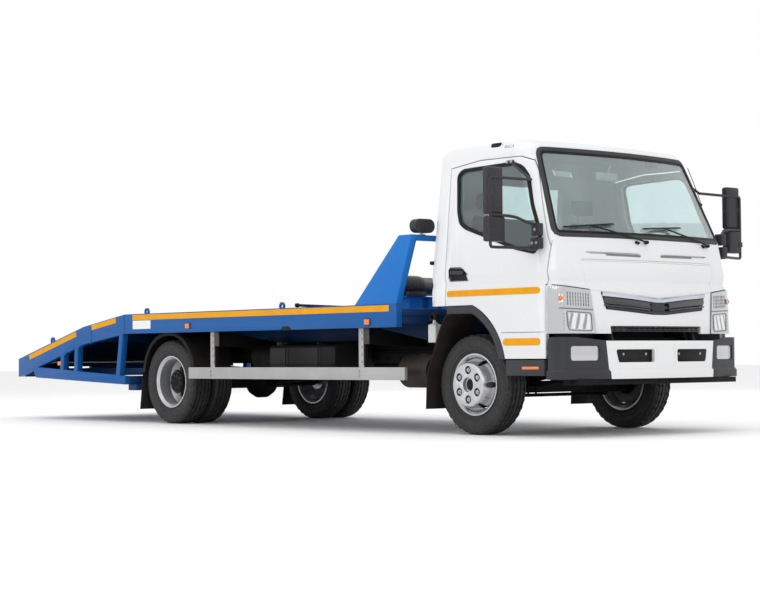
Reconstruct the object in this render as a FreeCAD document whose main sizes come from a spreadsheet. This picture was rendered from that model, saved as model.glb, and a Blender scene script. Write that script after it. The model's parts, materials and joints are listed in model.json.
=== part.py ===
"""Flatbed tow truck: cab-over chassis with a fixed car deck whose tail slopes down to the ground.

Millimetres. X points forward, Y to the left, Z up. The origin is on the ground, under the middle
of the whole truck. "Right" pieces stand on the -Y side and are drawn first; left ones mirror them.
"""
import FreeCAD, Part
import math
import os
import Sketcher

Vector = FreeCAD.Vector
doc = FreeCAD.newDocument("flatbed_tow_truck")
sheet = doc.addObject("Spreadsheet::Sheet", "Sizes")
nodes = []


class Size:
    """A number together with the sheet expression that it comes from."""

    def __init__(self, text, value):
        self.text = text
        self.value = value

    def join(self, sign, other, value):
        return Size("(" + self.text + " " + sign + " " + as_size(other).text + ")", value)

    def __add__(self, other):
        return self.join("+", other, self.value + float(other))

    def __sub__(self, other):
        return self.join("-", other, self.value - float(other))

    def __mul__(self, other):
        return self.join("*", other, self.value * float(other))

    def __truediv__(self, other):
        return self.join("/", other, self.value / float(other))

    def __radd__(self, other):
        return as_size(other) + self

    def __rsub__(self, other):
        return as_size(other) - self

    def __rmul__(self, other):
        return as_size(other) * self

    def __neg__(self):
        return as_size(0) - self

    def __float__(self):
        return float(self.value)


def as_size(number):
    return number if isinstance(number, Size) else Size(repr(float(number)), float(number))


class Sizes:
    """The driving dimensions: each is a cell of the sheet with its own alias."""

    def __init__(self):
        self.rows = 0

    def add(self, values):
        for alias, value in values.items():
            self.rows += 1
            cell = "A" + str(self.rows)
            sheet.set(cell, str(value))
            sheet.setAlias(cell, alias)
            setattr(self, alias, Size("Sizes." + alias, float(value)))


size = Sizes()


def bind(thing, prop, amount):
    thing.setExpression(prop, as_size(amount).text)


def place(thing, corner):
    for axis, amount in zip("xyz", corner):
        bind(thing, "Placement.Base." + axis, amount)


def block(name, lengths, corner):
    """A rectangular bar with its lowest corner at the given place."""
    bar = doc.addObject("Part::Box", name)
    for prop, amount in zip(("Length", "Width", "Height"), lengths):
        bind(bar, prop, amount)
    place(bar, corner)
    return bar


def rod(name, radius, length, start, along="z"):
    """A round bar from its start along +X, +Y or +Z."""
    bar = doc.addObject("Part::Cylinder", name)
    turns = {"x": (Vector(0, 1, 0), 90), "y": (Vector(1, 0, 0), -90), "z": (Vector(0, 0, 1), 0)}
    bar.Placement = FreeCAD.Placement(Vector(), FreeCAD.Rotation(*turns[along]))
    bind(bar, "Radius", radius)
    bind(bar, "Height", length)
    place(bar, start)
    return bar


def outline(sketch, points):
    """Draw a closed outline. A point marked "arc" is one that an arc passes through."""
    corners = [point for point in points if len(point) == 2]
    around = list(points) + [points[0]]
    edges = []
    through = None
    last = around[0]
    for point in around[1:]:
        if len(point) == 3:
            through = point
            continue
        ends = [Vector(float(last[0]), float(last[1]), 0), Vector(float(point[0]), float(point[1]), 0)]
        if through is None:
            edges.append((sketch.addGeometry(Part.LineSegment(*ends)), 1, 2, None))
        else:
            middle = Vector(float(through[0]), float(through[1]), 0)
            arc = sketch.addGeometry(Part.Arc(ends[0], middle, ends[1]))
            first = 1 if sketch.getPoint(arc, 1).distanceToPoint(ends[0]) < 0.001 else 2
            edges.append((arc, first, 3 - first, through))
        through = None
        last = point
    for number, (edge, first, second, through) in enumerate(edges):
        following = edges[(number + 1) % len(edges)]
        sketch.addConstraint(Sketcher.Constraint("Coincident", edge, second, following[0], following[1]))
    for (edge, first, second, through), corner in zip(edges, corners):
        pin(sketch, edge, first, corner)
        if through is not None:
            dot = sketch.addGeometry(Part.Point(Vector(float(through[0]), float(through[1]), 0)), True)
            pin(sketch, dot, 1, through)
            sketch.addConstraint(Sketcher.Constraint("PointOnObject", dot, 1, edge))


def pin(sketch, geometry, end, corner):
    """Hold one end of a line at its distances from the sketch's origin."""
    for kind, amount in zip(("DistanceX", "DistanceY"), corner):
        number = sketch.addConstraint(Sketcher.Constraint(kind, -1, 1, geometry, end, float(amount)))
        sketch.setExpression("Constraints[" + str(number) + "]", as_size(amount).text)


def sketch_on(body, plane, name, points, offset):
    sketch = body.newObject("Sketcher::SketchObject", name + "_outline")
    base = [item for item in body.Origin.OriginFeatures if item.Role == plane][0]
    sketch.AttachmentSupport = (base, [""])
    sketch.MapMode = "FlatFace"
    outline(sketch, points)
    bind(sketch, "AttachmentOffset.Base.z", offset)
    return sketch


def profile(name, plane, points, length, offset=0, symmetric=False, rounds=None):
    """A padded outline. On XZ_Plane it grows towards -Y, on YZ_Plane towards +X and on XY_Plane up.

    rounds maps a radius to the outline points whose edges it rounds off.
    """
    body = doc.addObject("PartDesign::Body", name)
    sketch = sketch_on(body, plane, name, points, offset)
    pad = body.newObject("PartDesign::Pad", name + "_pad")
    pad.Profile = sketch
    pad.SideType = "Symmetric" if symmetric else "One side"
    bind(pad, "Length", length)
    feature = pad
    for radius, chosen in (rounds or []):
        doc.recompute()
        corners = [Vector(float(points[k][0]), float(points[k][1]), 0) for k in chosen]
        spots = [sketch.Placement.multVec(corner) for corner in corners]
        along = sketch.Placement.Rotation.multVec(Vector(0, 0, 1))
        edges = []
        for number, edge in enumerate(feature.Shape.Edges):
            if len(edge.Vertexes) != 2 or edge.Curve.TypeId != "Part::GeomLine":
                continue
            one, two = (vertex.Point for vertex in edge.Vertexes)
            run = (two - one).normalize()
            if abs(abs(run.dot(along)) - 1) > 1e-6:
                continue
            for spot in spots:
                if (spot - one).cross(run).Length < 0.01:
                    edges.append("Edge" + str(number + 1))
        fillet = body.newObject("PartDesign::Fillet", name + "_round")
        fillet.Base = (feature, edges)
        bind(fillet, "Radius", radius)
        feature = fillet
        body.Tip = fillet
    return body


def turned(name, points, centre):
    """A ring or disc turned about an axis along Y. Points are (distance along Y, radius)."""
    body = doc.addObject("PartDesign::Body", name)
    sketch = sketch_on(body, "YZ_Plane", name, points, 0)
    turn = body.newObject("PartDesign::Revolution", name + "_turn")
    turn.Profile = sketch
    turn.ReferenceAxis = (sketch, ["H_Axis"])
    turn.Angle = 360
    place(body, centre)
    return body


def joined(name, pieces):
    fuse = doc.addObject("Part::MultiFuse", name)
    fuse.Shapes = pieces
    fuse.Refine = True
    return fuse


def cut(name, piece, tools):
    """A piece with every tool's shape taken away."""
    tool = tools[0] if len(tools) == 1 else joined(name + "_tools", tools)
    taken = doc.addObject("Part::Cut", name)
    taken.Base = piece
    taken.Tool = tool
    return taken


def mirrored(name, piece):
    other = doc.addObject("Part::Mirroring", name)
    other.Source = piece
    other.Normal = Vector(0, 1, 0)
    other.Base = Vector(0, 0, 0)
    return other


def group(name, pieces):
    """Pieces that stand apart on one body."""
    several = doc.addObject("Part::Compound", name)
    several.Links = pieces
    return several


def both_sides(name, right):
    return group(name, [right, mirrored(name + "_left_side", right)])


def made(name, shape):
    feature = doc.addObject("Part::Feature", name)
    feature.Shape = shape
    return feature


def node(label, thing):
    """Name a finished piece: its label is its file's name."""
    thing.Label = label
    nodes.append(thing)


# Sizes that several pieces share
size.add({
    "front_axle_x": 2655, "rear_axle_x": -1215, "tyre_radius": 382, "tyre_width": 211,
    "front_track_half": 835, "rear_track_half": 830, "twin_half_gap": 120, "rail_top": 735,
    "rail_depth": 190, "rail_outer": 425, "rail_flange": 60, "rail_wall": 7, "rail_front_x": 3600,
    "rail_rear_x": -2480, "door_gap": 7, "running_gap": 0.05, "seat_gap": 0.3, "moving_gap": 5,
})


def chassis_frame():
    """Two channel rails, open inwards, joined by cross members."""
    size.add({"cross_depth": 90, "cross_width": 70})
    rail_bottom = size.rail_top - size.rail_depth
    rail_length = size.rail_front_x - size.rail_rear_x
    web = block("rail_web", (rail_length, size.rail_wall, size.rail_depth),
                (size.rail_rear_x, -size.rail_outer, rail_bottom))
    flange_size = (rail_length, size.rail_flange, size.rail_wall)
    upper = block("rail_upper_flange", flange_size,
                  (size.rail_rear_x, -size.rail_outer, size.rail_top - size.rail_wall))
    lower = block("rail_lower_flange", flange_size, (size.rail_rear_x, -size.rail_outer, rail_bottom))
    rail = joined("rail_right", [web, upper, lower])
    pieces = [rail, mirrored("rail_left", rail)]
    size.add({
        "first_cross_x": -2480, "second_cross_x": -1900, "third_cross_x": -600, "fourth_cross_x": 500,
        "fifth_cross_x": 1500, "sixth_cross_x": 3480,
    })
    stations = (size.first_cross_x, size.second_cross_x, size.third_cross_x, size.fourth_cross_x,
                size.fifth_cross_x, size.sixth_cross_x)
    for number, station in enumerate(stations):
        length = size.rail_outer * 2 - size.rail_wall * 2
        cross = block("cross_member_" + str(number), (size.cross_width, length, size.cross_depth),
                      (station, -length / 2, size.rail_top - size.rail_wall - size.cross_depth))
        pieces.append(cross)
    node("chassis_frame", joined("chassis_frame", pieces))


def drive_line():
    size.add({
        "engine_rear_x": 2330, "engine_front_x": 3200, "engine_half_width": 270, "engine_bottom": 500,
        "engine_top": 930, "gearbox_rear_x": 1700, "gearbox_half_width": 150, "gearbox_top": 800,
    })
    engine = block("engine_body", (size.engine_front_x - size.engine_rear_x, size.engine_half_width * 2,
                                   size.engine_top - size.engine_bottom),
                   (size.engine_rear_x, -size.engine_half_width, size.engine_bottom))
    box = block("gearbox_body", (size.engine_rear_x - size.gearbox_rear_x, size.gearbox_half_width * 2,
                                 size.gearbox_top - size.engine_bottom),
                (size.gearbox_rear_x, -size.gearbox_half_width, size.engine_bottom))
    size.add({
        "engine_mount_x": 2700, "engine_mount_width": 90, "engine_mount_z": 620,
        "engine_mount_depth": 60,
    })
    reach = size.rail_outer - size.rail_wall
    mount = block("engine_mounts", (size.engine_mount_width, reach * 2, size.engine_mount_depth),
                  (size.engine_mount_x, -reach, size.engine_mount_z))
    node("engine_block", joined("engine_block", [engine, box, mount]))

    size.add({"shaft_radius": 45, "shaft_front_z": 600, "axle_nose_x": -1000})
    shaft_start = Vector(float(size.gearbox_rear_x), 0, float(size.shaft_front_z))
    shaft_end = Vector(float(size.axle_nose_x) - 50, 0, float(size.tyre_radius))
    run = shaft_end - shaft_start
    shaft = Part.makeCylinder(float(size.shaft_radius), run.Length, shaft_start, run)
    trim = 2000
    ahead = Part.makeBox(trim, trim, trim, Vector(float(size.gearbox_rear_x), -trim / 2, 0))
    behind = Part.makeBox(trim, trim, trim, Vector(float(size.axle_nose_x) - trim, -trim / 2, 0))
    node("propshaft", made("propshaft", shaft.cut(ahead).cut(behind)))

    size.add({
        "radiator_x": 3360, "radiator_thickness": 90, "radiator_half_width": 330,
        "radiator_bottom": 560, "radiator_top": 940,
    })
    core = block("radiator_core", (size.radiator_thickness, size.radiator_half_width * 2,
                                   size.radiator_top - size.radiator_bottom),
                 (size.radiator_x, -size.radiator_half_width, size.radiator_bottom))
    size.add({"radiator_foot_width": 60})
    foot = block("radiator_feet", (size.radiator_foot_width, reach * 2, size.radiator_foot_width),
                 (size.radiator_x, -reach, size.rail_top - size.rail_depth + size.rail_wall * 3))
    node("radiator", joined("radiator", [core, foot]))


def axles_and_springs():
    size.add({
        "beam_half_width": 45, "beam_bottom": 310, "beam_depth": 90, "kingpin_y": 780,
        "beam_eye_radius": 45, "kingpin_radius": 20, "spring_width": 70, "spring_y": 380,
        "spring_half_length": 600, "leaf_depth": 60,
    })
    eye_middle = size.tyre_radius
    beam_z = eye_middle - size.beam_depth / 2
    drop = size.beam_bottom
    beam = profile("axle_beam", "YZ_Plane", [
        (-size.kingpin_y, beam_z), (-size.kingpin_y + 70, beam_z), (-size.spring_y - 120, drop),
        (size.spring_y + 120, drop), (size.kingpin_y - 70, beam_z), (size.kingpin_y, beam_z),
        (size.kingpin_y, beam_z + size.beam_depth), (size.kingpin_y - 100, beam_z + size.beam_depth),
        (size.spring_y + 90, drop + size.beam_depth), (-size.spring_y - 90, drop + size.beam_depth),
        (-size.kingpin_y + 100, beam_z + size.beam_depth), (-size.kingpin_y, beam_z + size.beam_depth)],
        size.beam_half_width * 2, offset=size.front_axle_x - size.beam_half_width)
    eye = rod("axle_eye_right", size.beam_eye_radius, size.beam_depth,
              (size.front_axle_x, -size.kingpin_y, beam_z))
    hole = rod("kingpin_hole_right", size.kingpin_radius, size.beam_depth,
               (size.front_axle_x, -size.kingpin_y, beam_z))
    whole = joined("front_axle_whole", [beam, eye, mirrored("axle_eye_left", eye)])
    node("front_axle", cut("front_axle", whole, [hole, mirrored("kingpin_hole_left", hole)]))

    size.add({
        "axle_tube_radius": 60, "axle_bulge_radius": 165, "axle_bulge_half": 150, "spindle_radius": 45,
        "spindle_end_y": 985, "axle_tube_end_y": 640, "rear_spring_y": 475,
    })
    tube = rod("rear_axle_tube", size.axle_tube_radius, size.axle_tube_end_y * 2,
               (size.rear_axle_x, -size.axle_tube_end_y, size.tyre_radius), "y")
    spindle = rod("rear_spindle", size.spindle_radius, size.spindle_end_y * 2,
                  (size.rear_axle_x, -size.spindle_end_y, size.tyre_radius), "y")
    wide, tall = size.axle_bulge_half, size.axle_bulge_radius
    bulge = turned("axle_bulge", [
        (-wide, 0), (wide, 0), (wide, size.axle_tube_radius), (wide * 0.6, tall * 0.84), (wide * 0.27, tall),
        (-wide * 0.27, tall), (-wide * 0.6, tall * 0.84), (-wide, size.axle_tube_radius)],
        (size.rear_axle_x, 0, size.tyre_radius))
    nose = rod("axle_nose", size.axle_tube_radius, size.axle_nose_x - size.rear_axle_x,
               (size.rear_axle_x, 0, size.tyre_radius), "x")
    node("rear_axle", joined("rear_axle", [tube, spindle, bulge, nose]))

    springs = []
    rail_bottom = size.rail_top - size.rail_depth
    stations = ((size.front_axle_x, size.spring_y, size.beam_bottom + size.beam_depth, "front"),
                (size.rear_axle_x, size.rear_spring_y, size.tyre_radius + size.axle_tube_radius, "rear"))
    for axle_x, spring_y, seat, which in stations:
        reach = size.spring_half_length
        hanger = size.spring_width
        rise = rail_bottom - size.leaf_depth - 10
        points = [(axle_x - 110, seat), (axle_x + 110, seat), (axle_x + reach, rise),
                  (axle_x + reach, rail_bottom if which == "front" else size.rail_top - 40),
                  (axle_x + reach - hanger, rail_bottom if which == "front" else size.rail_top - 40),
                  (axle_x + reach - hanger, rise + 30), (axle_x + 110, seat + size.leaf_depth),
                  (axle_x - 110, seat + size.leaf_depth), (axle_x - reach + hanger, rise + 30),
                  (axle_x - reach + hanger, rail_bottom if which == "front" else size.rail_top - 40),
                  (axle_x - reach, rail_bottom if which == "front" else size.rail_top - 40),
                  (axle_x - reach, rise)]
        inner = spring_y - size.spring_width / 2
        if which == "rear":
            inner = size.rail_outer
        spring = profile(which + "_spring_right", "XZ_Plane", points, size.spring_width, offset=inner)
        springs += [spring, mirrored(which + "_spring_left", spring)]
    node("leaf_springs", group("leaf_springs", springs))


def steering():
    """Knuckles fork round the axle beam's eyes; their arms are linked by one tie rod."""
    size.add({
        "lug_depth": 30, "stub_radius": 35, "stub_end_y": 953, "knuckle_wall": 26,
        "knuckle_half_width": 42, "arm_back": 160, "arm_in": 58, "arm_half_width": 20,
        "arm_eye_radius": 24, "rod_pin_radius": 10, "tie_rod_radius": 14, "tie_rod_eye_depth": 24,
    })
    middle = size.tyre_radius
    upper = middle + size.beam_depth / 2 + size.moving_gap
    lower = middle - size.beam_depth / 2 - size.moving_gap - size.lug_depth
    wall_y = size.kingpin_y + size.beam_eye_radius + size.moving_gap
    pieces = []
    for name, z in (("upper", upper), ("lower", lower)):
        pieces.append(rod(name + "_lug", size.knuckle_half_width, size.lug_depth,
                          (size.front_axle_x, -size.kingpin_y, z)))
        pieces.append(block(name + "_lug_root", (size.knuckle_half_width * 2, wall_y - size.kingpin_y,
                                                  size.lug_depth),
                            (size.front_axle_x - size.knuckle_half_width, -wall_y, z)))
    pieces.append(block("knuckle_wall_right", (size.knuckle_half_width * 2, size.knuckle_wall,
                                               upper + size.lug_depth - lower),
                        (size.front_axle_x - size.knuckle_half_width, -wall_y - size.knuckle_wall, lower)))
    pieces.append(rod("kingpin_right", size.kingpin_radius - size.running_gap, upper - lower,
                      (size.front_axle_x, -size.kingpin_y, lower)))
    pieces.append(rod("stub_axle_right", size.stub_radius - size.running_gap,
                      size.stub_end_y - wall_y, (size.front_axle_x, -size.stub_end_y, middle), "y"))
    arm_x = size.front_axle_x - size.arm_back
    arm_y = size.kingpin_y - size.arm_in
    half = size.arm_half_width
    pieces.append(profile("steering_arm_right", "XY_Plane", [
        (size.front_axle_x, -size.kingpin_y - half), (size.front_axle_x, -size.kingpin_y + half),
        (arm_x, -arm_y + half), (arm_x, -arm_y - half)], size.lug_depth, offset=lower))
    pieces.append(rod("arm_eye_right", size.arm_eye_radius, size.lug_depth, (arm_x, -arm_y, lower)))
    whole = joined("knuckle_whole", pieces)
    bore = rod("arm_bore_right", size.rod_pin_radius, size.lug_depth, (arm_x, -arm_y, lower))
    right = cut("knuckle_right", whole, [bore])
    node("knuckle_right", right)
    node("knuckle_left", mirrored("knuckle_left", right))

    rod_z = lower - size.moving_gap - size.tie_rod_eye_depth
    eye = rod("tie_rod_eye", size.arm_eye_radius, size.tie_rod_eye_depth, (arm_x, -arm_y, rod_z))
    pin_up = rod("tie_rod_pin", size.rod_pin_radius - size.running_gap,
                 size.tie_rod_eye_depth + size.moving_gap + size.lug_depth, (arm_x, -arm_y, rod_z))
    bar = rod("tie_rod_bar", size.tie_rod_radius, arm_y * 2,
              (arm_x, -arm_y, rod_z + size.tie_rod_eye_depth / 2), "y")
    far_eye = mirrored("tie_rod_far_eye", eye)
    node("tie_rod", joined("tie_rod", [eye, pin_up, bar, far_eye]))


def tyre(name, centre):
    half = size.tyre_width / 2
    seat = size.rim_radius
    top = size.tyre_radius
    bead = size.bead_half
    low, bulge = seat + size.sidewall_foot, seat + size.sidewall_bulge
    foot = bead + size.foot_reach
    shoulder, tread = top - size.shoulder_drop, half - size.shoulder_width
    return turned(name, [
        (-bead, seat), (bead, seat), (foot, low), (half, bulge), (half - 8, shoulder), (tread, top),
        (-tread, top), (8 - half, shoulder), (-half, bulge), (-foot, low)], centre)


def wheels():
    size.add({
        "sidewall_foot": 38, "foot_reach": 19.5, "sidewall_bulge": 76, "shoulder_drop": 22,
        "shoulder_width": 32,
    })
    size.add({
        "rim_radius": 222.3, "bead_half": 70, "rim_flange_radius": 236, "rim_half_width": 88,
        "rim_wall": 14, "plate_face": 160, "plate_radius": 162, "hub_hole_radius": 56, "hub_recess": 30,
        "stud_circle": 111, "stud_recess_radius": 32, "vent_radius": 22, "vent_circle": 186,
        "front_hub_radius": 72, "dish_plate_radius": 165, "rear_hub_radius": 95, "rear_hub_half": 150,
        "front_hub_start": 28,
    })
    seat = size.rim_radius - size.seat_gap
    inner = seat - size.rim_wall
    flange = size.rim_flange_radius
    wide = size.rim_half_width
    face = size.plate_face
    centre_z = size.tyre_radius
    front_centre = (size.front_axle_x, -size.front_track_half, centre_z)
    disc = turned("front_rim_disc", [
        (wide, flange), (wide - 10, flange), (wide - 16, seat), (16 - wide, seat), (10 - wide, flange),
        (-wide, flange), (-wide, flange - 10), (18 - wide, inner), (-48, inner),
        (12 - face, size.plate_radius + 8), (-face, size.plate_radius), (-face, size.hub_hole_radius),
        (size.hub_recess - face, size.hub_hole_radius), (size.hub_recess - face, size.stub_radius),
        (-size.front_hub_start, size.stub_radius), (-size.front_hub_start, size.front_hub_radius),
        (12 - face, size.front_hub_radius),
        (12 - face, size.plate_radius - 6), (-36, inner - 10), (-20, inner), (wide - 18, inner),
        (wide, flange - 10)], front_centre)
    tools = []
    for number in range(6):
        angle = math.radians(60 * number + 30)
        tools.append(rod("stud_recess_" + str(number), size.stud_recess_radius, 30,
                         (size.front_axle_x + size.stud_circle * math.cos(angle),
                          -size.front_track_half - face - 5,
                          centre_z + size.stud_circle * math.sin(angle)), "y"))
        turn = math.radians(60 * number)
        tools.append(rod("vent_hole_" + str(number), size.vent_radius, face,
                         (size.front_axle_x + size.vent_circle * math.cos(turn),
                          -size.front_track_half - face - 5,
                          centre_z + size.vent_circle * math.sin(turn)), "y"))
    rim = cut("rim_front_right", disc, tools)
    node("rim_front_right", rim)
    node("rim_front_left", mirrored("rim_front_left", rim))
    rubber = tyre("tyre_front_right", front_centre)
    node("tyre_front_right", rubber)
    node("tyre_front_left", mirrored("tyre_front_left", rubber))

    gap = size.twin_half_gap
    hub = size.rear_hub_radius
    long = size.rear_hub_half
    plate = size.dish_plate_radius
    twin = turned("rim_twin", [
        (gap - wide, flange), (gap - wide + 10, flange), (gap - wide + 16, seat),
        (gap + wide - 16, seat), (gap + wide - 10, flange), (gap + wide, flange),
        (gap + wide, flange - 10), (gap + wide - 18, inner), (75, inner), (14, plate), (14, hub),
        (long, hub), (long, size.spindle_radius + size.running_gap),
        (-long, size.spindle_radius + size.running_gap), (-long, hub), (-14, hub), (-14, plate),
        (-75, inner), (18 - gap - wide, inner), (-gap - wide, flange - 10), (-gap - wide, flange),
        (10 - gap - wide, flange), (16 - gap - wide, seat), (wide - gap - 16, seat),
        (wide - gap - 10, flange), (wide - gap, flange), (wide - gap, flange - 10),
        (-50, inner), (0, plate + 12), (50, inner), (gap - wide, flange - 10)],
        (size.rear_axle_x, -size.rear_track_half, centre_z))
    node("rims_rear_right", twin)
    node("rims_rear_left", mirrored("rims_rear_left", twin))
    pair = []
    for name, lateral in (("outer", size.rear_track_half + gap), ("inner", size.rear_track_half - gap)):
        pair.append(tyre("tyre_rear_" + name, (size.rear_axle_x, -lateral, centre_z)))
    twins = group("tyres_rear_right", pair)
    node("tyres_rear_right", twins)
    node("tyres_rear_left", mirrored("tyres_rear_left", twins))


size.add({
    "deck_half_width": 1150, "beam_width": 60, "deck_front_x": 2019, "kink_x": -1815,
    "second_kink_x": -2535, "tail_x": -3775, "deck_top": 1011, "deck_bottom": 829,
    "second_kink_top": 907, "second_kink_bottom": 737, "tail_top": 600, "tail_bottom": 419,
    "floor_step": 36, "floor_thickness": 8,
})


def deck():
    inner = size.deck_half_width - size.beam_width
    size.add({
        "notch_rear_x": 551, "notch_front_x": 699, "notch_top": 853, "notch_slant": 24,
    })
    beam = profile("side_beam", "XZ_Plane", [
        (size.deck_front_x, size.deck_bottom), (size.deck_front_x, size.deck_top),
        (size.kink_x, size.deck_top), (size.second_kink_x, size.second_kink_top),
        (size.tail_x, size.tail_top), (size.tail_x, size.tail_bottom),
        (size.second_kink_x, size.second_kink_bottom), (size.kink_x, size.deck_bottom),
        (size.notch_rear_x, size.deck_bottom), (size.notch_rear_x + size.notch_slant, size.notch_top),
        (size.notch_front_x - size.notch_slant, size.notch_top),
        (size.notch_front_x, size.deck_bottom)], size.beam_width, offset=inner)

    size.add({
        "lower_rail_depth": 80, "lower_rail_rear_x": -3431, "lower_rail_rear_z": 413,
        "lower_rail_front_x": -1811, "lower_rail_front_z": 354,
    })
    lower_rail = profile("lower_rail", "XZ_Plane", [
        (size.lower_rail_front_x, size.lower_rail_front_z),
        (size.lower_rail_front_x, size.lower_rail_front_z + size.lower_rail_depth),
        (size.lower_rail_rear_x, size.lower_rail_rear_z + size.lower_rail_depth + 25),
        (size.lower_rail_rear_x - 60, size.lower_rail_rear_z + 75),
        (size.lower_rail_rear_x, size.lower_rail_rear_z)], size.beam_width, offset=inner)
    size.add({
        "post_width": 60, "first_post_top_x": -1842, "first_post_lean": 71, "second_post_top_x": -2637,
        "second_post_lean": 19, "third_post_top_x": -2896, "third_post_lean": 19,
        "first_post_foot": 400, "second_post_foot": 440, "third_post_foot": 450,
    })
    posts = []
    for name, top_x, lean, foot, head in (
            ("first", size.first_post_top_x, size.first_post_lean, size.first_post_foot, 850),
            ("second", size.second_post_top_x, size.second_post_lean, size.second_post_foot, 740),
            ("third", size.third_post_top_x, size.third_post_lean, size.third_post_foot, 670)):
        posts.append(profile(name + "_post", "XZ_Plane", [
            (top_x, head), (top_x - size.post_width, head), (top_x - size.post_width - lean, foot),
            (top_x - lean, foot)], size.post_width, offset=inner))
    right = joined("deck_side", [beam, lower_rail] + posts)
    sides = group("deck_sides", [right, mirrored("deck_side_left", right)])
    node("deck_sides", sides)

    size.add({
        "cross_beam_depth": 80, "cross_beam_width": 60, "front_beam_step": 56, "front_beam_bottom": 859,
        "front_beam_depth": 70, "front_beam_lip": 14,
    })
    pieces = []
    floor_top = size.deck_top - size.floor_step
    under = floor_top - size.floor_thickness
    size.add({"cross_beam_pitch": 560, "cross_beam_count": 7})
    for number in range(int(size.cross_beam_count.value)):
        start = size.deck_front_x - 250 - size.cross_beam_pitch * number - size.cross_beam_width
        pieces.append(block("deck_cross_" + str(number),
                            (size.cross_beam_width, inner * 2, size.cross_beam_depth),
                            (start, -inner, under - size.cross_beam_depth)))
    front = profile("front_cross_beam", "XZ_Plane", [
        (size.deck_front_x - size.front_beam_depth, size.front_beam_bottom),
        (size.deck_front_x - size.front_beam_lip, size.front_beam_bottom),
        (size.deck_front_x - size.front_beam_lip, floor_top - size.front_beam_step),
        (size.deck_front_x - 1, floor_top - size.front_beam_step), (size.deck_front_x - 1, floor_top),
        (size.deck_front_x - size.front_beam_depth, floor_top)], inner * 2, symmetric=True)
    pieces.append(front)
    size.add({"sub_beam_width": 60, "sub_beam_rear_x": -2215})
    sub_depth = under - size.cross_beam_depth - size.rail_top
    sub = block("sub_beam", (size.deck_front_x - size.front_beam_depth - size.sub_beam_rear_x,
                             size.sub_beam_width, sub_depth),
                (size.sub_beam_rear_x, -size.rail_outer, size.rail_top))
    size.add({
        "tail_lamp_depth": 14, "tail_plate_thickness": 50, "truss_cross_depth": 80,
        "low_cross_x": -1845, "low_cross_length": 138, "low_cross_z": 300, "ramp_slot_y": 330,
        "ramp_width": 260, "ramp_slot_bottom": 452, "ramp_slot_top": 512,
    })
    tail_height = size.tail_top - size.floor_step - size.floor_thickness - size.tail_bottom
    tail = block("tail_beam", (size.tail_plate_thickness, inner * 2, tail_height),
                 (size.tail_x + size.tail_lamp_depth, -inner, size.tail_bottom))
    slot = block("ramp_slot", (size.tail_plate_thickness * 2, size.ramp_width + size.moving_gap * 2,
                               size.ramp_slot_top - size.ramp_slot_bottom + size.moving_gap * 2),
                 (size.tail_x - 20, -size.ramp_slot_y - size.ramp_width - size.moving_gap,
                  size.ramp_slot_bottom - size.moving_gap))
    pieces.append(cut("tail_beam_slotted", tail, [slot, mirrored("ramp_slot_left", slot)]))
    width = size.cross_beam_width
    truss_cross = block("truss_cross", (width, inner * 2, size.truss_cross_depth),
                        (size.lower_rail_front_x - width, -inner, size.lower_rail_front_z))
    low_cross = block("low_cross", (size.low_cross_length, inner * 2,
                                    size.lower_rail_front_z - size.low_cross_z),
                      (size.low_cross_x, -inner, size.low_cross_z))
    pieces.append(joined("truss_foot", [truss_cross, low_cross]))
    size.add({"kink_cross_z": 760})
    pieces.append(block("kink_cross", (width, inner * 2, size.cross_beam_depth),
                        (size.second_kink_x, -inner, size.kink_cross_z)))
    truss_top = size.lower_rail_front_z + size.truss_cross_depth
    hanger = block("truss_hanger", (width, width, size.rail_top - size.rail_depth - truss_top),
                   (size.lower_rail_front_x - width, -size.rail_outer, truss_top))
    node("deck_frame", group("deck_frame", [sub, mirrored("sub_beam_left", sub), hanger,
                                            mirrored("truss_hanger_left", hanger)]))
    node("deck_cross_beams", group("deck_cross_beams", pieces))

    plates = profile("deck_plates", "XZ_Plane", [
        (size.deck_front_x - size.front_beam_depth - 1, floor_top), (size.kink_x, floor_top),
        (size.second_kink_x, size.second_kink_top - size.floor_step),
        (size.tail_x + 1, size.tail_top - size.floor_step),
        (size.tail_x + 1, size.tail_top - size.floor_step - size.floor_thickness),
        (size.second_kink_x, size.second_kink_top - size.floor_step - size.floor_thickness),
        (size.kink_x, under), (size.deck_front_x - size.front_beam_depth - 1, under)],
        inner * 2, symmetric=True)
    node("deck_plates", plates)
    return sides


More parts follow.
